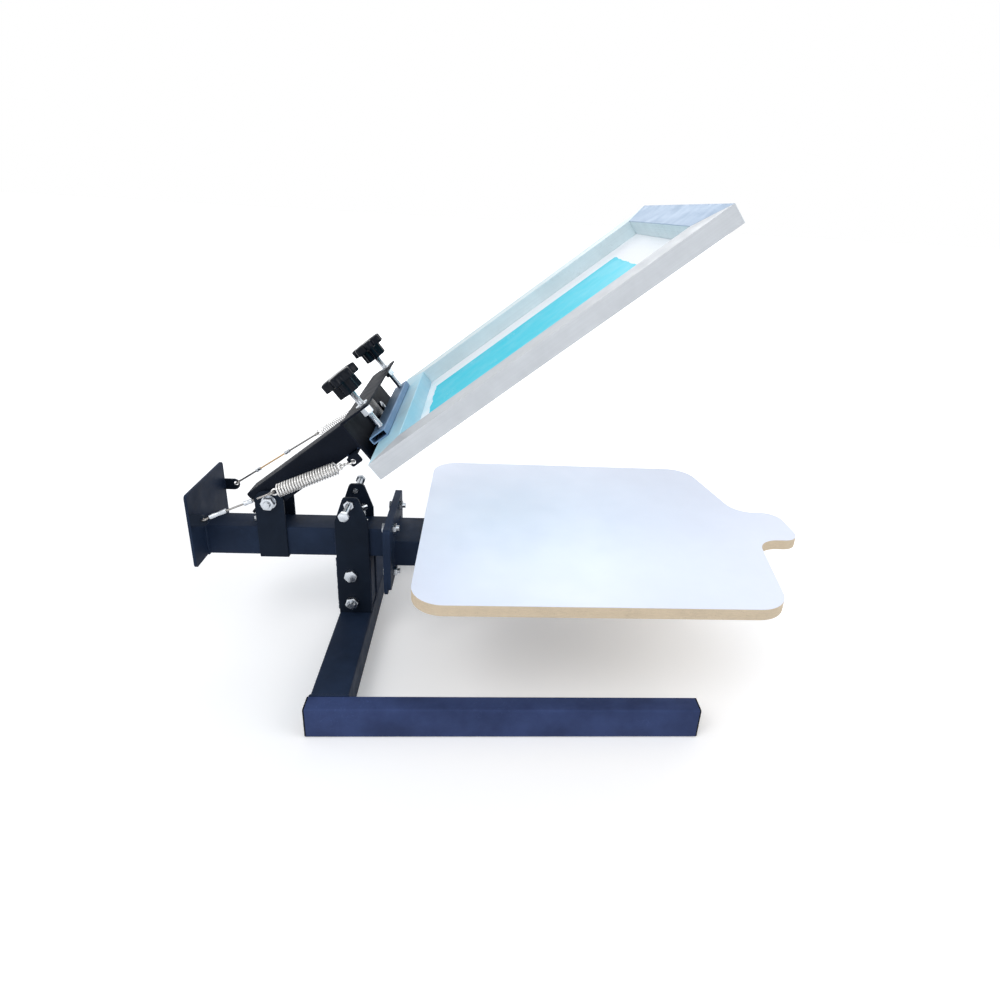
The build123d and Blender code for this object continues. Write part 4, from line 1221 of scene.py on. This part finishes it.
def add_stop_fasteners():
    """Print stop screw, raise stop stud and their lock nuts."""
    low, high, middle = box_of("print_stop_screw")
    seat_z = high.z - M8["head"]
    seat = on_axis(Vector((middle.x, middle.y, seat_z)), UP, 0.5)
    bm = bmesh.new()
    hexagon_bolt(bm, seat, M8, seat_z - low.z)
    dress("print_stop_screw", "print_stop_threaded", bm, "zinc")

    stud_low, stud_high, stud = box_of("raise_stop_stud")
    bm = bmesh.new()
    foot = on_axis(Vector((stud.x, 0, stud_low.z)), UP)
    thread(bm, foot, M8["radius"], M8["pitch"], stud_high.z - stud_low.z)
    dress("raise_stop_stud", "raise_stop_threaded", bm, "zinc")

    nuts_low = box_of("stop_lock_nuts")[0]
    bm = bmesh.new()
    for x in (middle.x, stud.x):
        hexagon_nut(bm, on_axis(Vector((x, 0, nuts_low.z)), UP, 0.4), M8, CLEAR)
    dress("stop_lock_nuts", "stop_nuts_chamfered", bm, "zinc")


def add_pivot_fasteners():
    """Pivot bolt, nut and washers."""
    low, high, middle = box_of("pivot_bolt")
    seat_y = high.y - M10["head"]
    seat = on_axis(Vector((middle.x, seat_y, middle.z)), SIDEWAYS, 0.2)
    bm = bmesh.new()
    hexagon_bolt(bm, seat, M10, seat_y - low.y, 2 * seat_y)
    dress("pivot_bolt", "pivot_bolt_threaded", bm, "zinc")

    nut_low, nut_high, _ = box_of("pivot_nut")
    seat = on_axis(Vector((middle.x, nut_high.y, middle.z)), -SIDEWAYS, 0.45)
    bm = bmesh.new()
    hexagon_nut(bm, seat, M10, TIGHT, nut_high.y - nut_low.y)
    dress("pivot_nut", "pivot_nut_chamfered", bm, "zinc")

    washers_high = box_of("pivot_washers")[1]
    radius = washers_high.z - middle.z
    thickness = washers_high.y - box_of("hinge_bracket")[1].y
    bm = bmesh.new()
    for side in (-1, 1):
        seat_at = Vector((middle.x, side * (washers_high.y - thickness), middle.z))
        seat = on_axis(seat_at, SIDEWAYS * side)
        ring_washer(bm, seat, radius, M10["radius"] * WASHER, thickness)
    dress("pivot_washers", "pivot_washers_edged", bm, "zinc")


def single(name, draw):
    """Object with one fastener drawn on the origin, ready for the grid tree."""
    bm = bmesh.new()
    draw(bm, Matrix.Identity(4))
    return new_piece(name, bm, FINISHES["zinc"])


def add_grid_fasteners():
    """Bolts and nuts of the joint of beam and pallet arm, and the pallet's screws, on grids."""
    plates_low, plates_high = box_of("beam_flange")[0], box_of("pallet_flange")[1]
    length = box_of("flange_bolts")[1].x - plates_low.x
    bolt = single("flange_bolts_threaded", lambda bm, at: hexagon_bolt(bm, at, M8, length))
    nut = single("flange_nuts_chamfered", lambda bm, at: hexagon_nut(bm, at, M8, TIGHT))
    screw = single("pallet_screws_domed", lambda bm, at: domed_head(bm, at, *PALLET_SCREW))
    nuts_middle = box_of("flange_nuts")[2]
    screws_middle = box_of("pallet_screws")[2]
    under_plate = box_of("pallet_plate")[0].z
    for piece, place, facing, gaps, node in (
        (bolt, (plates_low.x, 0, nuts_middle.z), (-1, 0, 0), FLANGE_GAPS, "flange_bolts"),
        (nut, (plates_high.x, 0, nuts_middle.z), (1, 0, 0), FLANGE_GAPS, "flange_nuts"),
        (screw, (screws_middle.x, 0, under_plate), (0, 0, -1), PALLET_GAPS, "pallet_screws"),
    ):
        values = {
            "Columns": 2,
            "Rows": 2,
            "Column Gap": gaps[0],
            "Row Gap": gaps[1],
            "Place": place,
            "Facing": Vector(facing).to_track_quat("Z", "Y").to_euler(),
            "Finish": FINISHES["zinc"],
        }
        grown(piece, grown_once("Fastener Grid"), values)
        settle(piece, BODY_OF[node], [node])


def domed_head(bm, place, radius, height):
    """Low domed screw head with a round socket recess, standing on the place."""
    profile = [(radius, 0), (radius, height * 0.35), (radius * 0.86, height * 0.75)]
    profile += [(radius * 0.55, height), (radius * 0.42, height), (radius * 0.4, height * 0.3)]
    turned_solid(bm, place, profile, 32)


# ---------------------------------------------------------------- print arm and clamp head
def arm_frame(distance, y, height):
    """Matrix on the raised arm: +Z along it, +Y across it."""
    x_axis = ACROSS.cross(ALONG)
    turn = Matrix((tuple(x_axis), tuple(ACROSS), tuple(ALONG))).transposed()
    return Matrix.Translation(arm_point(distance, y, height)) @ turn.to_4x4()


def on_arm(distance, y, height, direction, turn=0.0):
    """Matrix on the raised arm with +Z along the given direction."""
    return on_axis(arm_point(distance, y, height), direction, turn)


def add_print_arm(sizes):
    """Print arm, its plugs, tongue and spring tab."""
    low, high = arm_span("print_arm")
    size = high[1] - low[1]
    middle = (low[2] + high[2]) / 2
    tail, tip = arm_frame(low[0], 0, middle), arm_frame(high[0], 0, middle)
    bm = bmesh.new()
    square_tube(bm, tail, size, size, BEAM_WALL, sizes.tube_corner, high[0] - low[0])
    dress("print_arm", "print_arm_tube", bm, "arm_paint")

    bm = bmesh.new()
    for place in (tip, tail @ Matrix.Rotation(pi, 4, "X")):
        plug(bm, place, size, size, sizes.tube_corner)
    dress("arm_plugs", "print_arm_plugs", bm, "black_plastic")

    arm_plates = ["raise_stop_tongue", "spring_tab", "clamp_head", "spring_anchor"]
    soften_nodes(arm_plates, sizes.plate_edge, "arm_paint")

    bm = bmesh.new()
    web = arm_span("clamp_head")[0][0]
    half = size / 2
    foot, head = low[2] + 1 * MM, high[2]
    for side in (-1, 1):
        add_edges(bm, [arm_point(web, side * half, foot), arm_point(web, side * half, head)])
    add_edges(bm, [arm_point(web, -half, head), arm_point(web, half, head)])
    tab_low, tab_high = arm_span("spring_tab")
    for at in (tab_low[0], tab_high[0]):
        add_edges(bm, [arm_point(at, -half, low[2]), arm_point(at, -half / 2, low[2])])
    tongue_low, tongue_high = arm_span("raise_stop_tongue")
    for y in (tongue_low[1], tongue_high[1]):
        add_edges(bm, [arm_point(low[0], y, tongue_low[2]), arm_point(low[0], y, tongue_high[2])])
    weld_piece("print_arm_welds", bm, BODY_OF["print_arm"], sizes)


def screw_spot(side):
    """Where a clamp screw's axis stands: along the raised arm, and sideways."""
    low, high = arm_span(f"{side}_clamp_screw")
    return (low[0] + high[0]) / 2, (low[1] + high[1]) / 2


def add_clamp_fasteners():
    """Weld nuts, washers and the bolt that the rear spring hangs from."""
    spots = [screw_spot("front"), screw_spot("back")]
    low, high = arm_span("clamp_weld_nuts")
    bm = bmesh.new()
    for at, y in spots:
        seat = on_arm(at, y, high[2], -ACROSS, 0.3)
        hexagon_nut(bm, seat, M8, CLEAR, high[2] - low[2])
    dress("clamp_weld_nuts", "weld_nuts_chamfered", bm, "zinc")

    low, high = arm_span("clamp_washers")
    outer = (high[0] - low[0]) / 2
    bm = bmesh.new()
    for at, y in spots:
        seat = on_arm(at, y, low[2], ACROSS)
        ring_washer(bm, seat, outer, M8["radius"] * WASHER, high[2] - low[2])
    dress("clamp_washers", "clamp_washers_edged", bm, "zinc")

    low, high = arm_span("spring_anchor_bolt")
    y, level = (low[1] + high[1]) / 2, (low[2] + high[2]) / 2
    seat_at = high[0] - M8["head"]
    bm = bmesh.new()
    hexagon_bolt(bm, on_arm(seat_at, y, level, ALONG, 0.2), M8, seat_at - low[0])
    nut_seat = on_arm(low[0] + M8["nut"] + 4 * MM, y, level, -ALONG, 0.5)
    hexagon_nut(bm, nut_seat, M8, TIGHT)
    dress("spring_anchor_bolt", "anchor_bolt_threaded", bm, "zinc")


def add_clamp_screws(sizes):
    """Two long threaded screws with the swivel ends in the clamp bar."""
    start = arm_span("clamp_bar")[1][2] + 0.3 * MM
    plain = 2.0 * MM
    for side in ("front", "back"):
        node = f"{side}_clamp_screw"
        low, high = arm_span(node)
        at, y = screw_spot(side)
        bm = bmesh.new()
        lead = [(3.4 * MM, 0), (M8["radius"], 0.6 * MM), (M8["radius"], plain)]
        turned_solid(bm, on_arm(at, y, start, ACROSS), lead, 32)
        foot = on_arm(at, y, start + plain, ACROSS)
        thread(bm, foot, M8["radius"], sizes.thread_pitch, high[2] - start - plain, 36)
        neck = [(4.5 * MM, 0), (4.5 * MM, 1.6 * MM), (3 * MM, 1.6 * MM), (3 * MM, start - low[2])]
        turned_solid(bm, on_arm(at, y, low[2], ACROSS), neck, 28)
        dress(node, f"{node}_threaded", bm, "zinc")


def lobed_ring(place, radius, depth, height, lobes=7, segments=168):
    """Ring of points round a hand knob: broad round lobes with scoops between them."""
    points = []
    for i in range(segments):
        angle = 2 * pi * i / segments
        scoop = (0.5 - 0.5 * cos(lobes * angle)) ** 1.15
        reach = radius - depth * scoop
        points.append(place @ Vector((reach * cos(angle), reach * sin(angle), height)))
    return points


def add_knobs():
    """Seven-lobed hand knobs: a thick rim over a narrower, straight hub of the same shape."""
    for side, turn in (("front", 0.0), ("back", 0.35)):
        node = f"{side}_knob"
        low, high = arm_span(node)
        at, y = screw_spot(side)
        place = on_arm(at, y, low[2], ACROSS, turn)
        top = high[2] - low[2]
        rim = top - KNOB_RIM
        hub, hub_scoop = KNOB_HUB
        wide, wide_scoop = KNOB_WIDE
        profile = [
            (9.6 * MM, 0, 0),
            (hub - 1.4 * MM, hub_scoop * 0.8, 0),
            (hub - 0.4 * MM, hub_scoop, 0.4 * MM),
            (hub, hub_scoop, 1.3 * MM),
            (hub, hub_scoop, rim - 0.9 * MM),
            (hub + 0.5 * MM, hub_scoop, rim - 0.1 * MM),
            (wide - 1.1 * MM, wide_scoop, rim),
            (wide - 0.3 * MM, wide_scoop, rim + 0.3 * MM),
            (wide, wide_scoop, rim + 1.1 * MM),
            (wide, wide_scoop, top - 2.7 * MM),
            (wide - 0.4 * MM, wide_scoop, top - 1.7 * MM),
            (wide - 1.5 * MM, wide_scoop * 0.96, top - 1.0 * MM),
            (wide - 5.0 * MM, wide_scoop * 0.7, top - 0.45 * MM),
            (wide - 11.0 * MM, wide_scoop * 0.2, top - 0.12 * MM),
            (6.0 * MM, 0, top),
        ]
        bm = bmesh.new()
        skin(bm, [lobed_ring(place, radius, scoop, height) for radius, scoop, height in profile])
        dress(node, f"{node}_moulded", bm, "black_plastic", 50)


# ---------------------------------------------------------------- springs and their links
def link_line(side):
    """Ear hole, direction and length of a spring's line, from the swing joint and the CAD hook."""
    joint = JOINTS[f"{side}_link_swing"]
    ear = Vector(joint["pos_m"])
    run = Vector(JOINTS[f"{side}_spring_stretch"]["axis"]).normalized()
    hook = frame["nodes"][f"{side}_spring_hook"].data
    reach = max((vertex.co - ear).dot(run) for vertex in hook.vertices)
    return ear, run, reach


def along_link(ear, run, places):
    """Points from (along, sideways, level) triples on a link."""
    level = run.cross(SIDEWAYS).normalized()
    flat = level.cross(run)
    return [ear + run * a + flat * b + level * c for a, b, c in places]


def hook_points(start, towards, radius, tail, steps=26):
    """Open hook: an almost closed ring that begins at start, and a straight tail past it."""
    end = start + towards * 2 * radius
    centre = (start + end) / 2
    points = []
    for i in range(steps + 1):
        angle = radians(-150) + radians(300) * i / steps
        points.append((centre - towards * radius * cos(angle), radius * sin(angle), 0))
    points.append((end + towards * EYE_LEAD, 0, 0))
    points.append((end + towards * tail, 0, 0))
    return points


def curved(points, steps=6):
    """Smooth line through the points."""
    result = []
    for i in range(len(points) - 1):
        before = points[max(i - 1, 0)]
        first, second = points[i], points[i + 1]
        after = points[min(i + 2, len(points) - 1)]
        for step in range(steps):
            t = step / steps
            result.append(
                0.5
                * (
                    2 * first
                    + (second - before) * t
                    + (2 * before - 5 * first + 4 * second - after) * t * t
                    + (3 * first - before - 3 * second + after) * t**3
                )
            )
    result.append(points[-1])
    return result


def add_spring(side, wire_radius):
    """Coil between the link and the arm's hook, with a loop at each end."""
    spring = SPRINGS[side]
    start, end = spring["coil"]
    ear, run, _ = link_line(side)
    place = on_axis(ear + run * start, run)
    length = end - start
    turns = round(length / spring["pitch"]) + 0.5
    centre_line = spring["radius"] - wire_radius
    coil = bpy.data.objects.new(f"{side}_coil", bpy.data.meshes.new(f"{side}_coil"))
    bpy.context.scene.collection.objects.link(coil)
    values = {
        "Turns": turns,
        "Coil Radius": centre_line,
        "Wire Radius": wire_radius,
        "Length": length,
        "Place": place.to_translation(),
        "Facing": place.to_euler(),
        "Finish": FINISHES["spring_steel"],
    }
    grown(coil, grown_once("Coil"), values)
    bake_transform(coil)
    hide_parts(f"{side}_spring")

    level = run.cross(SIDEWAYS).normalized()
    for name, body, at, towards, phase in (
        ("near", f"{side}_link", 0, -1, 0),
        ("far", f"{side}_spring_hook", length, 1, 2 * pi * turns),
    ):
        rim = Vector((centre_line * cos(phase), centre_line * sin(phase), at))
        inner = Vector((centre_line * 0.5 * cos(phase), centre_line * 0.5 * sin(phase), at))
        lead = [place @ rim, place @ (inner + Vector((0, 0, towards * wire_radius * 0.9)))]
        ring = []
        for i in range(LOOP_STEPS + 1):
            angle = radians(20) + radians(320) * i / LOOP_STEPS
            along = start + at + towards * (EYE - EYE * cos(angle))
            ring.append(ear + run * along + level * (EYE * sin(angle)))
        bm = bmesh.new()
        wire(bm, curved(lead + ring, 4), wire_radius)
        piece = new_piece(f"{side}_spring_{name}_loop", bm, FINISHES["spring_steel"], 80)
        settle(piece, body)


def add_hook(bm, ear, run, start, towards, radius, tail):
    """Hook of link wire on a link's line."""
    points = along_link(ear, run, hook_points(start, towards, radius, tail))
    wire(bm, curved(points, 3), LINK_WIRE)


def add_links(coil_wires):
    """Wire links from the ears to the coils, with their sleeves and rods, and the arm's hooks."""
    for side, spring in SPRINGS.items():
        ear, run, _ = link_line(side)
        last = spring["coil"][0] - 2 * EYE + coil_wires[side] + LINK_WIRE + EYE_PLAY
        near_tail, far_tail = spring["tails"]
        bm = bmesh.new()
        add_hook(bm, ear, run, 0, 1, EYE, near_tail)
        add_hook(bm, ear, run, last, -1, EYE, far_tail)
        if side == "front":
            wire(bm, along_link(ear, run, [(at, 0, 0) for at in FRONT_STRAIGHT]), LINK_WIRE)
        dress(f"{side}_link", f"{side}_link_wire", bm, "link_wire", 60)
        bm = bmesh.new()
        for start, length in spring["sleeves"]:
            crimped(bm, on_axis(ear + run * start, run), length, spring["sleeve_radius"])
        dress(f"{side}_link", f"{side}_link_ferrules", bm, "zinc", hides=False)

    ear, run, _ = link_line("back")
    bm = bmesh.new()
    for offset in (-ROD_OFFSET, ROD_OFFSET):
        wire(bm, along_link(ear, run, [(at, offset, 0) for at in ROD_SPAN]), ROD_RADIUS, 14)
    dress("back_link", "back_link_rods", bm, "brass", 60, hides=False)

    for side, spring in SPRINGS.items():
        ear, run, reach = link_line(side)
        inner_tail, outer_tail = ARM_HOOK_TAILS
        start = spring["coil"][1] + 2 * EYE - coil_wires[side] - LINK_WIRE - EYE_PLAY
        bm = bmesh.new()
        add_hook(bm, ear, run, start, 1, EYE, inner_tail)
        add_hook(bm, ear, run, reach - LINK_WIRE, -1, ARM_HOOK, outer_tail)
        dress(f"{side}_spring_hook", f"{side}_arm_hook", bm, "spring_steel", 60)


def crimped(bm, place, length, radius):
    """Crimped sleeve with a waist, along the matrix's Z."""
    edge = 0.5 * MM
    waist = radius * 0.9
    profile = [(radius - edge, 0), (radius, edge), (radius, length * 0.3)]
    profile += [(waist, length * 0.4), (waist, length * 0.6), (radius, length * 0.7)]
    profile += [(radius, length - edge), (radius - edge, length)]
    turned_solid(bm, place, profile, 28)


# ---------------------------------------------------------------- clamp bar and screen
def add_clamp_bar():
    """Hollow aluminium bar under the clamp screws."""
    soften_nodes(["clamp_bar"], 0.4 * MM, "clamp_bar")


def add_screen_frame():
    """Mitred aluminium rails with broken edges."""
    for side, finish in (
        ("front", "side_rail"),
        ("back", "back_rail"),
        ("far", "far_rail"),
        ("near", "near_rail"),
    ):
        soften_nodes([f"screen_{side}_rail"], 0.55 * MM, finish)


def frame_sheet(name, finish, low, high, height, thickness, steps, shape=None):
    """Sheet across the screen between two (along, sideways) corners; shape moves its edges."""
    columns, rows = steps
    bm = bmesh.new()
    layers = []
    for level in (height, height + thickness):
        grid = []
        for i in range(columns + 1):
            line = []
            for j in range(rows + 1):
                u, v = i / columns, j / rows
                along = low[0] + (high[0] - low[0]) * u
                y = low[1] + (high[1] - low[1]) * v
                move = shape(u, v, along, y) if shape else (0.0, 0.0)
                line.append(bm.verts.new(arm_point(along + move[0], y + move[1], level)))
            grid.append(line)
        layers.append(grid)
    under, over = layers
    for i in range(columns):
        for j in range(rows):
            bm.faces.new((over[i][j], over[i + 1][j], over[i + 1][j + 1], over[i][j + 1]))
            bm.faces.new((under[i][j], under[i][j + 1], under[i + 1][j + 1], under[i + 1][j]))
    for i in range(columns):
        bm.faces.new((under[i][0], under[i + 1][0], over[i + 1][0], over[i][0]))
        bm.faces.new((over[i][rows], over[i + 1][rows], under[i + 1][rows], under[i][rows]))
    for j in range(rows):
        bm.faces.new((over[0][j], over[0][j + 1], under[0][j + 1], under[0][j]))
        end = (under[columns][j], under[columns][j + 1], over[columns][j + 1], over[columns][j])
        bm.faces.new(end)
    return new_piece(name, bm, FINISHES[finish], 60)


def ragged(u, v, along, y):
    """Scraped edge of the coat: long smears at both ends, and a faint wave at the sides."""
    end = max(0.0, 1 - min(u, 1 - u) * 14)
    side = max(0.0, 1 - min(v, 1 - v) * 10)
    smear = noise.noise(Vector((y * 40, u * 3, 0))) * 2.5 + noise.noise(Vector((y * 120, u, 4)))
    wave = noise.noise(Vector((along * 20, v * 5, 9))) * 0.8
    return smear * end * MM, wave * side * MM


def add_screen_cloth():
    """Woven mesh, and the emulsion coat that shows on both of its sides."""
    low, high = arm_span("screen_mesh")
    mesh_under = low[2]
    piece = frame_sheet("woven_mesh", "mesh", low, high, low[2], high[2] - low[2], MESH_STEPS)
    settle(piece, BODY_OF["screen_mesh"], ["screen_mesh"])

    node = "screen_emulsion"
    low, high = arm_span(node)
    for name, height, thickness, hidden in (
        ("emulsion_coat", low[2] - COAT_SINK, high[2] - low[2], [node]),
        ("emulsion_print_side", mesh_under - PRINT_SIDE_DROP, PRINT_SIDE_THICKNESS, []),
    ):
        coat = frame_sheet(name, "emulsion", low, high, height, thickness, COAT_STEPS, ragged)
        settle(coat, BODY_OF[node], hidden)


# ---------------------------------------------------------------- pallet
def add_pallet():
    """Shirt-shaped board with its laminate face."""
    soften_nodes(["pallet_board"], 0.5 * MM, "fibreboard", 2)
    soften_nodes(["pallet_laminate"], 0.3 * MM, "laminate", 2)


# ---------------------------------------------------------------- stage
def seen_directly(tree):
    """1 for rays that show a surface to the camera, a mirror or through glass, 0 for light."""
    path = tree.nodes.new("ShaderNodeLightPath")
    view = path.outputs["Is Camera Ray"]
    for ray in ("Is Glossy Ray", "Is Transmission Ray"):
        view = calculate(tree, "MAXIMUM", view, path.outputs[ray])
    return view


def add_floor():
    """White floor that keeps the press's shadow and runs into the white background."""
    bm = bmesh.new()
    bmesh.ops.create_grid(bm, x_segments=1, y_segments=1, size=FLOOR_REACH)
    material, tree, principled, place = shaded("pale_floor", (0.86, 0.86, 0.86), 0.0, 0.9, 0.1)
    distance = add_node(tree, "ShaderNodeVectorMath", {0: place}, operation="LENGTH").outputs[1]
    glow = rescale(tree, distance, (0.5, 1.6), (0.22, 1.0))
    seen = calculate(tree, "MULTIPLY", seen_directly(tree), glow)
    principled.inputs["Emission Color"].default_value = (1, 1, 1, 1)
    tree.links.new(seen, principled.inputs["Emission Strength"])
    floor = new_piece("floor", bm, material)
    floor.location.z = -0.5 * MM


def add_world():
    """Even studio light from all round, seen as white."""
    world = bpy.data.worlds.new("studio")
    bpy.context.scene.world = world
    world.use_nodes = True
    tree = world.node_tree
    lit = (0.62, 0.64, 0.68)
    tree.links.new(
        mix_colour(tree, seen_directly(tree), lit, (1.0, 1.0, 1.0)),
        tree.nodes["Background"].inputs["Color"],
    )


def add_lamp(name, place, aim, size, power):
    """Square softbox at a place, aimed at a point."""
    lamp = bpy.data.lights.new(name, "AREA")
    lamp.energy = power
    lamp.size = size
    holder = bpy.data.objects.new(name, lamp)
    bpy.context.scene.collection.objects.link(holder)
    holder.location = place
    holder.rotation_euler = (Vector(aim) - Vector(place)).to_track_quat("-Z", "Y").to_euler()


def add_camera():
    """Camera at the height, side and distance from which the press is photographed."""
    yaw, pitch, roll = radians(4.45), radians(-22.01), radians(3.36)
    forward = Vector((sin(yaw) * cos(pitch), cos(yaw) * cos(pitch), sin(pitch)))
    right = Vector((cos(yaw), -sin(yaw), 0))
    up = right.cross(forward)
    tilted_right = right * cos(roll) + up * sin(roll)
    tilted_up = up * cos(roll) - right * sin(roll)
    camera = bpy.data.cameras.new("camera")
    camera.sensor_width = 36
    camera.lens = 22.905
    camera.shift_x = -0.02376
    camera.shift_y = -0.0308
    camera.clip_end = 5 * FLOOR_REACH
    holder = bpy.data.objects.new("camera", camera)
    bpy.context.scene.collection.objects.link(holder)
    turn = Matrix((tuple(tilted_right), tuple(tilted_up), tuple(-forward))).transposed()
    holder.matrix_world = Matrix.Translation((0.17905, -0.85509, 0.6238)) @ turn.to_4x4()
    bpy.context.scene.camera = holder


# ---------------------------------------------------------------- operators
def ready(scene):
    """Makes the finishes once, and counts the objects that are there."""
    if not FINISHES:
        make_finishes(scene.press_colours)
    return len(bpy.data.objects)


def finished(operator, before):
    """Ends an operator, or stops the script where it made nothing."""
    if len(bpy.data.objects) == before:
        raise RuntimeError(f"{operator.bl_label} made nothing")
    return {"FINISHED"}


class PRESS_OT_stage(bpy.types.Operator):
    """Floor, studio light and camera"""

    bl_idname = "press.stage"
    bl_label = "Stage"
    bl_options = {"REGISTER", "UNDO"}

    def execute(self, context):
        scene = context.scene
        before = ready(scene)
        scene.view_settings.view_transform = "Standard"
        add_floor()
        add_world()
        middle = (0.15, 0.0, 0.25)
        add_lamp("key", (-1.1, -1.5, 2.3), middle, 1.4, 27)
        add_lamp("side", (1.9, -0.8, 1.5), middle, 1.2, 12)
        add_lamp("back", (0.3, 1.9, 1.6), middle, 1.2, 9)
        add_camera()
        return finished(self, before)


class PRESS_OT_stand(bpy.types.Operator):
    """Painted tubes and plates of the stand, with their plugs and weld beads"""

    bl_idname = "press.stand"
    bl_label = "Stand"
    bl_options = {"REGISTER", "UNDO"}

    def execute(self, context):
        scene = context.scene
        before = ready(scene)
        add_stand(scene.press_sizes)
        add_stand_welds(scene.press_sizes)
        return finished(self, before)


class PRESS_OT_fasteners(bpy.types.Operator):
    """Plated bolts, nuts, washers and stop screws of the stand"""

    bl_idname = "press.fasteners"
    bl_label = "Fasteners"
    bl_options = {"REGISTER", "UNDO"}

    def execute(self, context):
        before = ready(context.scene)
        add_gate_fasteners()
        add_stop_fasteners()
        add_pivot_fasteners()
        add_grid_fasteners()
        return finished(self, before)


class PRESS_OT_print_arm(bpy.types.Operator):
    """Black print arm with its clamp head, nuts and anchor"""

    bl_idname = "press.print_arm"
    bl_label = "Print Arm"
    bl_options = {"REGISTER", "UNDO"}

    def execute(self, context):
        scene = context.scene
        before = ready(scene)
        add_print_arm(scene.press_sizes)
        add_clamp_fasteners()
        return finished(self, before)


class PRESS_OT_clamp(bpy.types.Operator):
    """Clamp screws, hand knobs and clamp bar"""

    bl_idname = "press.clamp"
    bl_label = "Clamp"
    bl_options = {"REGISTER", "UNDO"}

    def execute(self, context):
        scene = context.scene
        before = ready(scene)
        add_clamp_screws(scene.press_sizes)
        add_knobs()
        add_clamp_bar()
        return finished(self, before)


class PRESS_OT_springs(bpy.types.Operator):
    """Two coil springs with their hooks and wire links"""

    bl_idname = "press.springs"
    bl_label = "Springs"
    bl_options = {"REGISTER", "UNDO"}

    def execute(self, context):
        scene = context.scene
        before = ready(scene)
        sizes = scene.press_sizes
        coil_wires = {"front": sizes.front_coil_wire, "back": sizes.back_coil_wire}
        for side, wire_radius in coil_wires.items():
            add_spring(side, wire_radius)
        add_links(coil_wires)
        return finished(self, before)


class PRESS_OT_screen(bpy.types.Operator):
    """Aluminium screen frame with its mesh and emulsion"""

    bl_idname = "press.screen"
    bl_label = "Screen"
    bl_options = {"REGISTER", "UNDO"}

    def execute(self, context):
        before = ready(context.scene)
        add_screen_frame()
        add_screen_cloth()
        return finished(self, before)


class PRESS_OT_pallet(bpy.types.Operator):
    """Laminated fibreboard pallet"""

    bl_idname = "press.pallet"
    bl_label = "Pallet"
    bl_options = {"REGISTER", "UNDO"}

    def execute(self, context):
        before = ready(context.scene)
        add_pallet()
        return finished(self, before)


OPERATORS = (
    PRESS_OT_stage,
    PRESS_OT_stand,
    PRESS_OT_fasteners,
    PRESS_OT_print_arm,
    PRESS_OT_clamp,
    PRESS_OT_springs,
    PRESS_OT_screen,
    PRESS_OT_pallet,
)


class PRESS_PT_panel(bpy.types.Panel):
    """Lists the press's operators and its colours and sizes"""

    bl_idname = "PRESS_PT_panel"
    bl_label = "Screen Printing Press"
    bl_space_type = "VIEW_3D"
    bl_region_type = "UI"
    bl_category = "Press"

    def draw(self, context):
        layout = self.layout
        for operator in OPERATORS:
            layout.operator(operator.bl_idname)
        for group in (context.scene.press_colours, context.scene.press_sizes):
            box = layout.box()
            for name in group.__annotations__:
                box.prop(group, name)


CLASSES = (PressColours, PressSizes, *OPERATORS, PRESS_PT_panel)


def register():
    for item in CLASSES:
        bpy.utils.register_class(item)
    bpy.types.Scene.press_colours = bpy.props.PointerProperty(type=PressColours)
    bpy.types.Scene.press_sizes = bpy.props.PointerProperty(type=PressSizes)


def unregister():
    del bpy.types.Scene.press_sizes
    del bpy.types.Scene.press_colours
    for item in reversed(CLASSES):
        bpy.utils.unregister_class(item)


def main():
    register()
    for operator in OPERATORS:
        module, name = operator.bl_idname.split(".")
        getattr(getattr(bpy.ops, module), name)()


if __name__ == "__main__":
    main()
